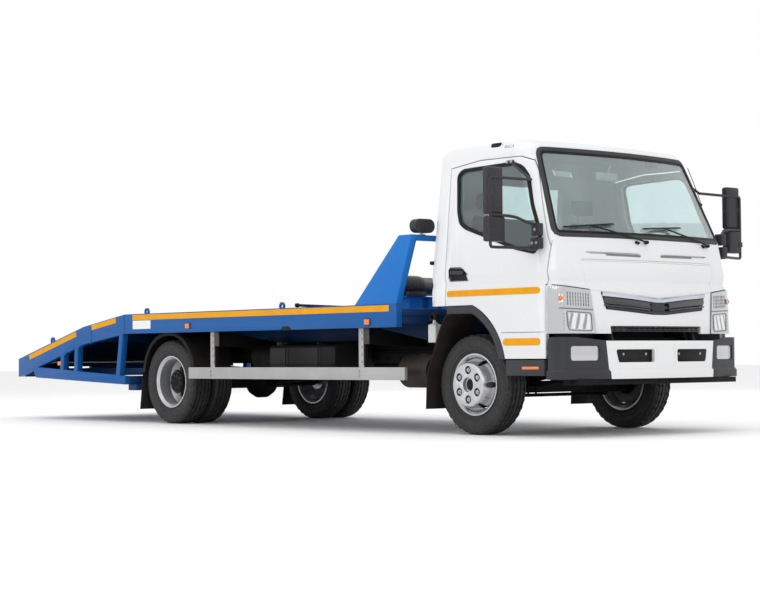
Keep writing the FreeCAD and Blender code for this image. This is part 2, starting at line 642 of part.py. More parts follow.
def headboard_and_winch():
    inner = size.deck_half_width - size.beam_width
    floor_top = size.deck_top - size.floor_step
    size.add({
        "board_foot_rear_x": 1519, "board_top_rear_x": 2054, "board_top_front_x": 2205,
        "board_top": 1542, "bar_depth": 45, "bar_width": 36, "bar_setback": 18,
    })
    plate = profile("headboard_side", "XZ_Plane", [
        (size.board_foot_rear_x, size.deck_top), (size.deck_front_x, size.deck_top),
        (size.board_top_front_x, size.board_top), (size.board_top_rear_x, size.board_top)],
        size.beam_width, offset=inner)
    bar_half = size.deck_half_width - size.beam_width / 2
    bar = block("headboard_bar", (size.bar_width, bar_half * 2, size.bar_depth),
                (size.board_top_front_x - size.bar_width - size.bar_setback, -bar_half,
                 size.board_top - size.bar_depth))
    frame = joined("headboard_frame", [plate, mirrored("headboard_side_left", plate), bar])
    size.add({
        "winch_x": 1225, "winch_z": 1190, "winch_half_length": 433, "winch_radius": 88,
        "drum_half": 190, "drum_flange_radius": 84, "drum_radius": 55, "drum_shaft_radius": 20,
        "housing_bore_depth": 25, "post_base_half": 60, "post_top_gap": 8,
    })
    stand_top = size.winch_z - size.winch_radius
    posts = []
    for name, near, far in (("outer", 345, 200), ("inner", 130, 20)):
        posts.append(block("winch_post_" + name,
                           (size.post_base_half * 2, near - far, stand_top - floor_top - 12),
                           (size.winch_x - size.post_base_half, -near, floor_top)))
    bed = block("winch_bed", (size.post_base_half * 2 + 40, size.winch_half_length * 2 - 60, 12),
                (size.winch_x - size.post_base_half - 20, -size.winch_half_length + 30, stand_top - 12))
    legs = joined("winch_stand", posts + [mirrored("winch_post_left_" + str(k), post)
                                          for k, post in enumerate(posts)] + [bed])
    node("headboard", group("headboard", [frame, legs]))

    gap = size.moving_gap
    wall_y = size.drum_half + gap
    gear = rod("winch_gearbox", size.winch_radius, size.winch_half_length - wall_y,
               (size.winch_x, -size.winch_half_length, size.winch_z), "y")
    gear_foot = block("winch_gearbox_foot", (220, size.winch_half_length - wall_y - 30, 40),
                      (size.winch_x - 110, -size.winch_half_length + 30, stand_top))
    motor = rod("winch_motor", size.winch_radius - 14, size.winch_half_length - wall_y,
                (size.winch_x, wall_y, size.winch_z), "y")
    motor_foot = block("winch_motor_foot", (220, size.winch_half_length - wall_y - 30, 40),
                       (size.winch_x - 110, wall_y, stand_top))
    tie = rod("winch_tie_bar", 9, size.winch_half_length * 2 - 80,
              (size.winch_x + 90, -size.winch_half_length + 40, stand_top + 14), "y")
    whole = joined("winch_body", [gear, gear_foot, motor, motor_foot, tie])
    bore = rod("winch_bore", size.drum_shaft_radius, wall_y * 2 + size.housing_bore_depth * 2,
               (size.winch_x, -wall_y - size.housing_bore_depth, size.winch_z), "y")
    node("winch_housing", cut("winch_housing", whole, [bore]))
    half = size.drum_half
    end = wall_y + size.housing_bore_depth - 2
    shaft = size.drum_shaft_radius - size.running_gap
    node("winch_drum", turned("winch_drum", [
        (-end, 0), (end, 0), (end, shaft), (half, shaft), (half, size.drum_flange_radius),
        (half - 10, size.drum_flange_radius), (half - 10, size.drum_radius), (10 - half, size.drum_radius),
        (10 - half, size.drum_flange_radius), (-half, size.drum_flange_radius), (-half, shaft),
        (-end, shaft)], (size.winch_x, 0, size.winch_z)))


def ramps():
    """Loading ramps stored under the tail, and the tray that carries them."""
    inner = size.deck_half_width - size.beam_width
    size.add({
        "ramp_length": 1500, "ramp_rear_x": -3765, "tray_thickness": 4, "tray_front_x": -1871,
    })
    bottom = size.ramp_slot_bottom
    tray_top = bottom - size.seat_gap
    guide = size.ramp_slot_y - size.moving_gap - 6
    tray_rear_x = size.tail_x + size.tail_lamp_depth + size.tail_plate_thickness
    tray = block("tray_floor", (size.tray_front_x - tray_rear_x, inner * 2, size.tray_thickness),
                 (tray_rear_x, -inner, tray_top - size.tray_thickness))
    guides = []
    for number, y in enumerate((guide, guide + size.ramp_width + size.moving_gap * 2 + 6)):
        guides.append(block("ramp_guide_" + str(number), (size.ramp_length, 6, 40),
                            (tray_rear_x, -y - 6, tray_top)))
    mirrors = [mirrored("ramp_guide_left_" + str(k), one) for k, one in enumerate(guides)]
    node("ramp_tray", joined("ramp_tray", [tray] + guides + mirrors))
    size.add({"ramp_rail_width": 40, "rung_width": 40, "rung_count": 7})
    rail = block("ramp_rail_near", (size.ramp_length, size.ramp_rail_width, 50),
                 (size.ramp_rear_x, -size.ramp_slot_y - size.ramp_width, bottom))
    other = block("ramp_rail_far", (size.ramp_length, size.ramp_rail_width, 50),
                  (size.ramp_rear_x, -size.ramp_slot_y - size.ramp_rail_width, bottom))
    rungs = []
    count = int(size.rung_count.value)
    for number in range(count):
        pitch = (size.ramp_length - size.rung_width) / (count - 1)
        rungs.append(block("ramp_rung_" + str(number),
                           (size.rung_width, size.ramp_width - size.ramp_rail_width, 30),
                           (size.ramp_rear_x + pitch * number,
                            -size.ramp_slot_y - size.ramp_width + size.ramp_rail_width / 2, bottom + 12)))
    right = joined("ramp_right", [rail, other] + rungs)
    node("ramp_right", right)
    node("ramp_left", mirrored("ramp_left", right))


def guards_and_mudguards():
    size.add({
        "guard_rear_x": -794, "guard_front_x": 2100, "guard_bottom": 415, "guard_depth": 100,
        "guard_thickness": 30, "guard_outer": 1140, "upright_width": 66, "upright_depth": 40,
        "rear_upright_x": -500, "front_upright_x": 1520,
    })
    rail_inner = size.guard_outer - size.guard_thickness
    rail = profile("guard_rail", "XZ_Plane", [
        (size.guard_rear_x, size.guard_bottom), (size.guard_front_x, size.guard_bottom),
        (size.guard_front_x, size.guard_bottom + size.guard_depth),
        (size.guard_rear_x, size.guard_bottom + size.guard_depth)], size.guard_thickness, offset=rail_inner)
    uprights = []
    for name, x in (("rear", size.rear_upright_x), ("front", size.front_upright_x)):
        bar = block(name + "_upright", (size.upright_width, size.upright_depth,
                                        size.deck_bottom - size.guard_bottom),
                    (x, -rail_inner, size.guard_bottom))
        hollow = block(name + "_upright_hollow", (size.upright_width - 8, size.upright_depth, 500),
                       (x + 4, -rail_inner + 4, size.guard_bottom - 20))
        channel = cut(name + "_upright_channel", bar, [hollow])
        bracket = profile(name + "_bracket", "YZ_Plane", [
            (-rail_inner + 2, size.deck_bottom), (-rail_inner + 2, 660), (-rail_inner + 60, 700),
            (-size.rail_outer, size.rail_top - 60), (-size.rail_outer, size.rail_top - 5),
            (-rail_inner + 160, size.deck_bottom)], 5, offset=x + size.upright_width - 5)
        uprights += [channel, bracket]
    node("side_guards", both_sides("side_guards", joined("side_guard_right", [rail] + uprights)))

    size.add({
        "mud_inner_y": 620, "mud_outer_y": 1060, "mud_wall": 6, "mud_front_x": -823, "mud_front_z": 526,
        "mud_top": 838, "mud_top_x": -1232, "mud_rear_x": -1644, "mud_rear_z": 471,
        "flap_bottom_x": -1696, "flap_bottom": 125, "mud_lip": 34,
    })
    wall = size.mud_wall
    arch = profile("rear_mudguard_arch", "XZ_Plane", [
        (size.mud_front_x, size.mud_front_z), (size.mud_front_x - 118, size.mud_top - 105, "arc"),
        (size.mud_top_x, size.mud_top), (size.mud_top_x - 291, size.mud_top - 112, "arc"),
        (size.mud_rear_x, size.mud_rear_z), (size.flap_bottom_x, size.flap_bottom),
        (size.flap_bottom_x + wall, size.flap_bottom), (size.mud_rear_x + wall, size.mud_rear_z),
        (size.mud_top_x - 287, size.mud_top - 117, "arc"),
        (size.mud_top_x, size.mud_top - wall), (size.mud_front_x - 122, size.mud_top - 110, "arc"),
        (size.mud_front_x - wall, size.mud_front_z)],
        size.mud_outer_y - size.mud_inner_y, offset=size.mud_inner_y)
    lip = profile("rear_mudguard_lip", "XZ_Plane", [
        (size.mud_front_x, size.mud_front_z), (size.mud_front_x - 118, size.mud_top - 105, "arc"),
        (size.mud_top_x, size.mud_top), (size.mud_top_x - 291, size.mud_top - 112, "arc"),
        (size.mud_rear_x, size.mud_rear_z), (size.mud_rear_x + size.mud_lip, size.mud_rear_z),
        (size.mud_top_x - 267, size.mud_top - 136, "arc"),
        (size.mud_top_x, size.mud_top - size.mud_lip), (size.mud_front_x - 142, size.mud_top - 129, "arc"),
        (size.mud_front_x - size.mud_lip, size.mud_front_z)], wall, offset=size.mud_outer_y - wall)
    stays = []
    for name, x in (("front", size.mud_top_x + 120), ("rear", size.mud_top_x - 120)):
        stays.append(rod("mudguard_stay_" + name, 15, size.mud_outer_y - size.rail_outer - 20,
                         (x, -size.mud_outer_y + 20, size.mud_top - 20), "y"))
    right = joined("rear_mudguard_right", [arch, lip] + stays)
    node("rear_mudguards", both_sides("rear_mudguards", right))

    size.add({
        "liner_inner_y": 640, "liner_outer_y": 1000, "liner_wall": 8, "front_flap_x": 2196,
        "front_flap_bottom": 191,
    })
    wall = size.liner_wall
    liner = profile("front_liner", "XZ_Plane", [
        (2474, 926), (2425, 905), (2356, 801), (2310, 686), (size.front_flap_x + 12, 457),
        (size.front_flap_x, size.front_flap_bottom), (size.front_flap_x - wall, size.front_flap_bottom),
        (size.front_flap_x + 12 - wall, 459), (2310 - wall, 689), (2356 - wall, 805), (2425 - wall, 911),
        (2474, 926 + wall)], size.liner_outer_y - size.liner_inner_y, offset=size.liner_inner_y)
    stay = rod("liner_stay", 15, size.liner_outer_y - size.rail_outer - 20,
               (2300, -size.liner_outer_y + 20, 690), "y")
    right = joined("front_mudguard_right", [liner, stay])
    node("front_mudguards", both_sides("front_mudguards", right))


def tank_muffler_battery():
    size.add({
        "tank_rear_x": 217, "tank_front_x": 1090, "tank_bottom": 508, "tank_top": 701,
        "tank_outer": 1000, "tank_depth": 400, "tank_round": 36, "strap_width": 40, "strap_proud": 4,
    })
    tank = profile("tank_body", "YZ_Plane", [
        (-size.tank_outer, size.tank_bottom), (size.tank_depth - size.tank_outer, size.tank_bottom),
        (size.tank_depth - size.tank_outer, size.tank_top), (-size.tank_outer, size.tank_top)],
        size.tank_front_x - size.tank_rear_x, offset=size.tank_rear_x,
        rounds=[(size.tank_round, (0, 1, 2, 3))])
    straps = []
    for number, share in enumerate((0.25, 0.75)):
        x = size.tank_rear_x + (size.tank_front_x - size.tank_rear_x) * share
        proud = size.strap_proud
        straps.append(profile("tank_strap_" + str(number), "YZ_Plane", [
            (-size.tank_outer - proud, size.tank_bottom - proud),
            (-size.rail_outer, size.tank_bottom - proud),
            (-size.rail_outer, size.tank_top - 10),
            (size.tank_depth - size.tank_outer + 40, size.tank_top + proud),
            (-size.tank_outer - proud, size.tank_top + proud)],
            size.strap_width, offset=x, rounds=[(size.tank_round + size.strap_proud, (0, 4))]))
    node("fuel_tank", joined("fuel_tank", [tank] + straps))

    size.add({
        "muffler_rear_x": 1850, "muffler_length": 330, "muffler_radius": 130, "muffler_y": 860,
        "muffler_z": 482,
    })
    can = rod("muffler_can", size.muffler_radius, size.muffler_length,
              (size.muffler_rear_x, -size.muffler_y, size.muffler_z), "x")
    arm = block("muffler_arm", (80, size.muffler_y - size.rail_outer, 60),
                (size.muffler_rear_x + 120, -size.muffler_y, size.rail_top - size.rail_depth + 15))
    size.add({"exhaust_radius": 32, "exhaust_rear_x": 1300, "exhaust_offset": 60})
    pipe = rod("exhaust_pipe", size.exhaust_radius, size.muffler_rear_x - size.exhaust_rear_x,
               (size.exhaust_rear_x, -size.muffler_y + size.exhaust_offset, size.muffler_z), "x")
    node("muffler", joined("muffler", [can, arm, pipe]))

    size.add({
        "battery_rear_x": 900, "battery_length": 620, "battery_inner": 600, "battery_depth": 330,
        "battery_bottom": 470, "battery_height": 240,
    })
    case = block("battery_case", (size.battery_length, size.battery_depth, size.battery_height),
                 (size.battery_rear_x, size.battery_inner, size.battery_bottom))
    arm = block("battery_arm", (size.battery_length - 200, size.battery_inner - size.rail_outer, 60),
                (size.battery_rear_x + 100, size.rail_outer, size.battery_bottom + 90))
    node("battery_box", joined("battery_box", [case, arm]))

    size.add({
        "bottle_rear_x": 2176, "bottle_length": 95, "bottle_inner": 860, "bottle_width": 110,
        "bottle_bottom": 694, "bottle_top": 870,
    })
    bottle_height = size.bottle_top - size.bottle_bottom
    bottle = block("bottle_body", (size.bottle_length, size.bottle_width, bottle_height),
                   (size.bottle_rear_x, -size.bottle_inner - size.bottle_width, size.bottle_bottom))
    arm = block("bottle_arm", (40, size.bottle_inner - size.rail_outer, 20),
                (size.bottle_rear_x, -size.bottle_inner, size.bottle_bottom + 10))
    node("coolant_bottle", joined("coolant_bottle", [bottle, arm]))


def rings_and_lamps(deck_sides):
    size.add({
        "ring_outer": 34, "ring_hole": 17, "ring_half_width": 8.5, "ring_y": 1122,
        "deck_ring_z": 1029, "tail_ring_z": 780, "rear_ring_x": -3150, "middle_ring_x": -1480,
        "front_ring_x": 546,
    })
    rings = []
    for name, x, z in (("rear", size.rear_ring_x, size.tail_ring_z),
                       ("middle", size.middle_ring_x, size.deck_ring_z),
                       ("front", size.front_ring_x, size.deck_ring_z)):
        start = (x, -size.ring_y - size.ring_half_width, z)
        disc = rod("ring_disc_" + name, size.ring_outer, size.ring_half_width * 2, start, "y")
        eye = rod("ring_eye_" + name, size.ring_hole, size.ring_half_width * 2, start, "y")
        ring = cut("ring_" + name, disc, [eye])
        rings += [ring, mirrored("ring_left_" + name, ring)]
    whole = group("lashing_rings_whole", rings)
    node("lashing_rings", cut("lashing_rings", whole, [deck_sides]))

    size.add({"marker_length": 60, "marker_height": 44, "marker_proud": 14})
    lamps = []
    inner = size.deck_half_width - size.beam_width
    face = size.deck_half_width + size.marker_proud
    for name, x, z in (("rear", -786, 884), ("front", 1677, 874)):
        lamps.append(block("marker_" + name, (size.marker_length, size.marker_proud, size.marker_height),
                           (x - size.marker_length / 2, -face, z - size.marker_height / 2)))
    size.add({"tail_lamp_width": 200, "tail_lamp_height": 90})
    lamps.append(block("tail_lamp", (size.tail_lamp_depth, size.tail_lamp_width, size.tail_lamp_height),
                       (size.tail_x, -inner + 60, size.tail_bottom + 25)))
    node("marker_lamps", group("marker_lamps", lamps + [mirrored("lamp_left_" + str(k), lamp)
                                                       for k, lamp in enumerate(lamps)]))
    size.add({
        "work_lamp_y": 1012, "work_lamp_z": 1612, "work_lamp_half": 105, "work_lamp_rise": 56,
        "work_lamp_rim": 34, "work_lamp_back": 50, "work_lamp_back_inset": 22, "work_lamp_stalk": 12,
    })
    lamp_x = size.board_top_front_x - size.bar_width / 2 - size.bar_setback
    parts = []
    for name, inset, start, depth in (("rim", 0, -size.work_lamp_rim, size.work_lamp_rim),
                                      ("back", size.work_lamp_back_inset, 0, size.work_lamp_back)):
        rise = size.work_lamp_rise - inset
        straight = size.work_lamp_half - size.work_lamp_rise
        parts.append(block("work_lamp_middle_" + name, (depth, straight * 2, rise * 2),
                           (lamp_x + start, -size.work_lamp_y - straight, size.work_lamp_z - rise)))
        for end, shift in (("near", -straight), ("far", straight)):
            parts.append(rod("work_lamp_" + end + "_" + name, rise, depth,
                             (lamp_x + start, -size.work_lamp_y + shift, size.work_lamp_z), "x"))
    stalk = rod("work_lamp_stalk", size.work_lamp_stalk, size.work_lamp_z - size.board_top,
                (lamp_x + size.work_lamp_stalk, -size.work_lamp_y, size.board_top))
    node("work_lamp", joined("work_lamp", parts + [stalk]))


# The cab's outline at each height: rear face, front face at the centre line, half width and corner radius
size.add({
    "cab_bottom": 577, "cab_rear_x": 2252, "cab_rear_top_x": 2268, "cab_half_width": 1042,
    "crease_half_width": 1029, "screen_foot_half_width": 1010, "screen_top_half_width": 935,
    "cab_front_bottom_x": 3714, "crease_foot_x": 3688, "crease_x": 3664, "crease_top_x": 3674,
    "screen_foot_x": 3632, "screen_top_x": 3328, "crease_foot_z": 1095, "crease_z": 1145,
    "crease_top_z": 1205, "screen_foot_z": 1472, "screen_top_z": 2138, "roof_top_z": 2268,
    "front_curve": 4000, "front_corner": 150, "rear_corner": 110, "skin": 12, "wall": 55,
    "roof_wall": 40,
})


def cab_section(z, rear, front, half, corner, back_corner, inset):
    """A closed outline at one height, with a bowed front and four rounded corners."""
    rear = rear + inset
    front = front - inset
    half = half - inset
    corner = max(corner - inset, 10)
    back_corner = max(back_corner - inset, 10)
    bow = float(size.front_curve) - inset
    centre_x = front - bow
    corner_y = half - corner
    corner_x = centre_x + math.sqrt((bow - corner) ** 2 - corner_y ** 2)
    lean = math.atan2(corner_y, corner_x - centre_x)
    mid = math.pi / 4 + lean / 2
    meet = (centre_x + bow * math.cos(lean), bow * math.sin(lean))

    def at(x, y):
        return Vector(x, y, z)

    def arc(a, b, c):
        return Part.Arc(at(*a), at(*b), at(*c)).toShape()

    def line(a, b):
        return Part.LineSegment(at(*a), at(*b)).toShape()

    slant = math.sqrt(0.5)
    back = [(rear, half - back_corner),
            (rear + back_corner * (1 - slant), half - back_corner * (1 - slant)),
            (rear + back_corner, half)]
    fore = [(corner_x, half), (corner_x + corner * math.cos(mid), corner_y + corner * math.sin(mid)), meet]
    flip = [[(x, -y) for x, y in points] for points in (back, fore)]
    edges = [
        line((rear, back_corner - half), back[0]), arc(*back), line(back[2], fore[0]), arc(*fore),
        arc(meet, (front, 0), (meet[0], -meet[1])), arc(*reversed(flip[1])),
        line(flip[1][0], flip[0][2]), arc(*reversed(flip[0])),
    ]
    return Part.Wire(edges)


def cab_form(inset, top_inset=None):
    """The cab's outer form, shrunk by an inset all round: straight loft between sections."""
    top_inset = inset if top_inset is None else top_inset
    v = float
    corner = v(size.front_corner)
    back = v(size.rear_corner)
    crown = v(size.roof_top_z) - v(size.screen_top_z)
    rear_x, half = v(size.cab_rear_x), v(size.cab_half_width)
    rows = [
        (v(size.cab_bottom), rear_x, v(size.cab_front_bottom_x), half, corner, back),
        (v(size.crease_foot_z), rear_x, v(size.crease_foot_x), half, corner, back),
        (v(size.crease_z), rear_x, v(size.crease_x), v(size.crease_half_width), corner, back),
        (v(size.crease_top_z), rear_x, v(size.crease_top_x), half - 1, corner, back),
        (v(size.screen_foot_z), rear_x + 5, v(size.screen_foot_x), v(size.screen_foot_half_width), corner,
         back),
        (v(size.screen_top_z), v(size.cab_rear_top_x), v(size.screen_top_x),
         v(size.screen_top_half_width), corner, back),
    ]
    steps = ((0.42, 14, -50, -30), (0.68, 52, -140, -95), (0.87, 130, -280, -235), (1.0, 260, -420, -550))
    last = rows[-1]
    for share, back_in, front_in, side_in in steps:
        rows.append((v(size.screen_top_z) + (crown - top_inset) * share, last[1] + back_in,
                     last[2] + front_in, last[3] + side_in, corner + 30 * share, back + 60 * share))
    wires = [cab_section(*row, inset) for row in rows]
    return Part.makeLoft(wires, True, True)


def prism(points, direction, start, length):
    """A straight-sided tool. Points lie across the direction, as (X, Z) along Y or (Y, Z) along X."""
    def at(point):
        if direction == "y":
            return Vector(float(point[0]), start, float(point[1]))
        return Vector(start, float(point[0]), float(point[1]))

    edges = []
    around = list(points) + [points[0]]
    last = around[0]
    through = None
    for point in around[1:]:
        if len(point) == 3:
            through = point
            continue
        if through is None:
            edges.append(Part.LineSegment(at(last), at(point)).toShape())
        else:
            edges.append(Part.Arc(at(last), at(through), at(point)).toShape())
        through = None
        last = point
    way = Vector(0, length, 0) if direction == "y" else Vector(length, 0, 0)
    return Part.Face(Part.Wire(edges)).extrude(way)


def grown(points, amount):
    """An outline of straight and curved sides pushed outwards by an amount."""
    wire_edges = []
    last = points[0]
    through = None
    for point in list(points[1:]) + [points[0]]:
        if len(point) == 3:
            through = point
            continue
        a, b = Vector(last[0], last[1], 0), Vector(point[0], point[1], 0)
        if through is None:
            wire_edges.append(Part.LineSegment(a, b).toShape())
        else:
            wire_edges.append(Part.Arc(a, Vector(through[0], through[1], 0), b).toShape())
        through = None
        last = point
    return Part.Face(Part.Wire(wire_edges)).makeOffset2D(amount, join=2)


def rounded(points, radius):
    """A flat outline with its outward corners rounded off."""
    return grown(points, -radius).makeOffset2D(radius, join=0)


def swept(face, direction, start, length):
    """Turn a flat face, drawn as (X, Z) or (Y, Z), into a tool along Y or X."""
    if direction == "y":
        turn = FreeCAD.Placement(Vector(0, start, 0), FreeCAD.Rotation(Vector(1, 0, 0), 90))
        way = Vector(0, length, 0)
    else:
        turn = FreeCAD.Placement(Vector(start, 0, 0), FreeCAD.Rotation(Vector(1, 1, 1), 120))
        way = Vector(length, 0, 0)
    placed = face.copy()
    placed.Placement = turn
    return placed.extrude(way)


size.add({
    "door_bottom": 577, "door_front_x": 3503, "door_rear_x": 2469, "door_rear_top_x": 2449,
    "door_top": 2074, "arch_top": 982, "arch_flat_end_x": 2760, "arch_foot_x": 3100,
    "window_sill_rear": 1583, "window_sill_front": 1347, "window_front_x": 3420, "window_top": 2026,
    "window_rear_x": 2530,
})


def door_outline():
    v = float
    return [
        (v(size.arch_foot_x), v(size.door_bottom)), (v(size.door_front_x), v(size.door_bottom)),
        (v(size.door_front_x), 1390), (3470, 1490), (3389, 1712), (3302, 1960), (3262, 2040), (3180, 2071),
        (2757, v(size.door_top)), (v(size.door_rear_top_x), 2036), (v(size.door_rear_x), v(size.arch_top)),
        (v(size.arch_flat_end_x), v(size.arch_top)), (2954, 854, "arc"),
    ]


def window_outline():
    v = float
    return [
        (2650, 1570), (3188, 1392), (v(size.window_front_x) - 20, v(size.window_sill_front)),
        (v(size.window_front_x) + 18, 1470), (3334, 1701), (3262, 1920), (3200, 1996),
        (3110, v(size.window_top)),
        (2580, v(size.window_top) - 12), (v(size.window_rear_x), 1980), (2558, 1700), (2588, 1610),
    ]


def cab():
    """Cab shell, doors, glass and panels, all cut from one form so that they meet."""
    v = float
    outer = cab_form(0)
    skin = cab_form(v(size.skin))
    inside = cab_form(v(size.wall), v(size.roof_wall))
    gap = v(size.door_gap)
    far = 1300

    size.add({"jamb_y": 848, "leaf_y": 869, "rebate": 16})
    jamb, leaf_y = v(size.jamb_y), v(size.leaf_y)
    opening = swept(grown(door_outline(), gap), "y", -jamb, jamb - far)
    full = swept(grown(door_outline(), -0.01), "y", -leaf_y, leaf_y - far)
    inner_part = swept(grown(door_outline(), -v(size.rebate)), "y", -leaf_y, leaf_y - far)
    window = swept(grown(window_outline(), -0.01), "y", 0, -far)
    leaf_outer = outer.cut(skin).common(full)
    leaf_inner = skin.cut(inside).common(inner_part)
    size.add({
        "handle_rear_x": 2498, "handle_front_x": 2719, "handle_bottom": 1164, "handle_top": 1274,
        "handle_floor_y": 1005, "lever_depth": 30, "lever_rise": 34,
    })
    rear, front = v(size.handle_rear_x), v(size.handle_front_x)
    bottom, top = v(size.handle_bottom), v(size.handle_top)
    recess = swept(rounded([(rear, bottom), (front, bottom), (front - 8, bottom + 50),
                            (rear + 130, top), (rear, top)], 18), "y", -v(size.handle_floor_y), -100)
    lever = Part.makeBox(front - rear, v(size.lever_depth) / 2, v(size.lever_rise),
                         Vector(rear, -v(size.handle_floor_y) - v(size.lever_depth), bottom + 12))
    leaf = leaf_outer.fuse(leaf_inner).cut(window).cut(recess).fuse(lever.common(outer))
    pane_zone = swept(grown(window_outline(), -0.5), "y", 0, -far)
    pane = cab_form(14).cut(cab_form(20)).common(pane_zone)
    door = made("door_right", leaf.removeSplitter())
    node("door_right", door)
    node("door_left", mirrored("door_left", door))
    glass = made("door_glass_right", pane)
    node("door_glass_right", glass)
    node("door_glass_left", mirrored("door_glass_left", glass))

    shell = outer.cut(inside)
    for side in (1, -1):
        tool = opening if side == 1 else opening.mirror(Vector(), Vector(0, 1, 0))
        shell = shell.cut(tool)
    arch = prism([(2000, 400), (2000, v(size.arch_top)), (v(size.arch_flat_end_x), v(size.arch_top)),
                  (2954, 854, "arc"), (v(size.arch_foot_x), v(size.door_bottom)), (3100, 400)],
                 "y", -far, far * 2)
    shell = shell.cut(arch)

    size.add({
        "screen_foot_half": 938, "screen_head_half": 831, "glass_inset": 3, "glass_thickness": 7,
    })
    screen_points = [(-v(size.screen_foot_half), v(size.screen_foot_z) + 4),
                     (v(size.screen_foot_half), v(size.screen_foot_z) + 4),
                     (v(size.screen_head_half), v(size.screen_top_z) - 3),
                     (-v(size.screen_head_half), v(size.screen_top_z) - 3)]
    screen_zone = swept(grown(screen_points, -0.01), "x", 3000, 900)
    shell = shell.cut(screen_zone)
    inset = v(size.glass_inset)
    screen_layer = cab_form(inset).cut(cab_form(inset + v(size.glass_thickness)))
    screen = screen_layer.common(swept(grown(screen_points, -0.5), "x", 3000, 900))
    size.add({"rear_window_half": 430, "rear_window_sill": 1480, "rear_window_top": 1960})
    rear_points = [(-v(size.rear_window_half), v(size.rear_window_sill)),
                   (v(size.rear_window_half), v(size.rear_window_sill)),
                   (v(size.rear_window_half), v(size.rear_window_top)),
                   (-v(size.rear_window_half), v(size.rear_window_top))]
    shell = shell.cut(swept(grown(rear_points, -0.01), "x", 2200, 200))
    rear_pane = screen_layer.common(swept(grown(rear_points, -0.5), "x", 2200, 200))
    node("cab_glass", made("cab_glass", Part.makeCompound(screen.Solids + rear_pane.Solids)))

    size.add({
        "panel_bottom": 756, "notch_half": 505, "panel_notch_top": 810, "panel_wall": 25,
        "hood_bottom": 1022, "hood_rise": 53, "hood_top": 1287, "hood_half_bottom": 704, "hood_half_top": 748,
        "seam": 0.6, "vent_depth": 10, "vent_outer": 688, "vent_inner": 110, "vent_inner_left": 170,
        "vent_top": 1357, "lamp_inner_top": 698, "lamp_inner_bottom": 655, "lamp_bottom": 757,
        "lamp_top": 1117, "lamp_proud": 10, "lamp_split": 941,
    })
    front_x = v(size.door_front_x) + gap
    below_screen = v(size.screen_foot_z)
    front_zone = Part.makeBox(600, 3000, below_screen - 40 - v(size.panel_bottom),
                              Vector(front_x, -1500, v(size.panel_bottom)))
    lower_cut = Part.makeBox(600, 3000, below_screen - 40 - 300, Vector(front_x - 5, -1500, 300))
    shell = shell.cut(lower_cut)

    size.add({
        "dash_half": 858, "dash_bottom": 1130, "cowl_gap": 1, "cowl_foot": 985,
    })
    behind_panel = cab_form(v(size.panel_wall) + v(size.cowl_gap))
    cowl_top = below_screen - 40 - v(size.seat_gap)
    cowl_zone = Part.makeBox(600, 3000, cowl_top - v(size.dash_bottom),
                             Vector(front_x, -1500, v(size.dash_bottom)))
    foot_zone = Part.makeBox(600, v(size.lamp_inner_bottom) * 2 - 20, v(size.dash_bottom) - v(size.cowl_foot),
                             Vector(front_x, 10 - v(size.lamp_inner_bottom), v(size.cowl_foot)))
    cowl = behind_panel.cut(inside).common(cowl_zone.fuse(foot_zone))
    node("cab_shell", made("cab_shell", shell.removeSplitter()))
    behind_door = Part.makeBox(2000, 3000, 3000, Vector(front_x - 2000, -1500, 0))
    walls = outer.cut(cab_form(v(size.wall) + v(size.seat_gap), v(size.roof_wall))).common(behind_door)
    floor = cab_floor(behind_panel).fuse(cowl).cut(walls)
    node("cab_floor", made("cab_floor", floor.removeSplitter()))

    layer = outer.cut(cab_form(v(size.panel_wall)))
    panel = layer.common(front_zone)
    notch = swept(grown([(-v(size.notch_half), 700), (v(size.notch_half), 700),
                         (v(size.notch_half) + 14, v(size.panel_notch_top)),
                         (-v(size.notch_half) - 14, v(size.panel_notch_top))], -0.01), "x", 3300, 600)
    hood_corner_z = v(size.hood_bottom) + v(size.hood_rise)
    hood_points = [(-v(size.hood_half_bottom), hood_corner_z), (0, v(size.hood_bottom)),
                   (v(size.hood_half_bottom), hood_corner_z),
                   (v(size.hood_half_top), v(size.hood_top)), (-v(size.hood_half_top), v(size.hood_top))]
    hood_zone = swept(grown(hood_points, -0.01), "x", 3300, 600)
    hood_gap = swept(grown(hood_points, v(size.seam)), "x", 3300, 600)
    grille_points = [(-596, 1062), (0, 1016), (596, 1062), (552, 934), (74, 896), (-74, 896), (-552, 934)]
    grille_zone = swept(grown(grille_points, -0.01), "x", 3300, 600)
    grille_body = swept(grown(grille_points, -v(size.seat_gap)), "x", 3300, 600)
    lamp_points = [(-v(size.lamp_inner_bottom), v(size.lamp_bottom)), (-v(size.lamp_inner_top), 1073),
                   (-1200, v(size.lamp_top) + 8), (-1200, v(size.lamp_bottom))]
    lamp_zone = swept(grown(lamp_points, 0.15), "x", front_x - 5, 600)
    lamp_body = swept(grown(lamp_points, -0.15), "x", front_x, 600)
    lamp_left_zone = lamp_zone.mirror(Vector(), Vector(0, 1, 0))
    panel = panel.cut(notch).cut(hood_gap).cut(grille_zone).cut(lamp_zone).cut(lamp_left_zone)
    below_lamp = Part.makeBox(600, 3000, v(size.lamp_bottom) - 600, Vector(front_x - 5, -1500, 600))
    wings = below_lamp.cut(Part.makeBox(600, v(size.lamp_inner_bottom) * 2, 900,
                                        Vector(front_x - 5, -v(size.lamp_inner_bottom), 500)))
    panel = panel.cut(wings)
    for sign, near in ((-1, v(size.vent_inner_left)), (1, v(size.vent_inner))):
        far_end, top = sign * v(size.vent_outer), v(size.vent_top)
        vent = swept(grown([(far_end, top), (sign * near, top - 4), (sign * near, top - 22),
                            (far_end * 0.95, top - 14)], -0.01), "x", 3300, 600)
        panel = panel.cut(outer.cut(cab_form(v(size.vent_depth))).common(vent))
    solids = sorted(panel.Solids, key=lambda solid: -solid.Volume)
    node("front_panel", made("front_panel", Part.makeCompound(solids)))
    hood = layer.common(hood_zone).cut(grille_zone)
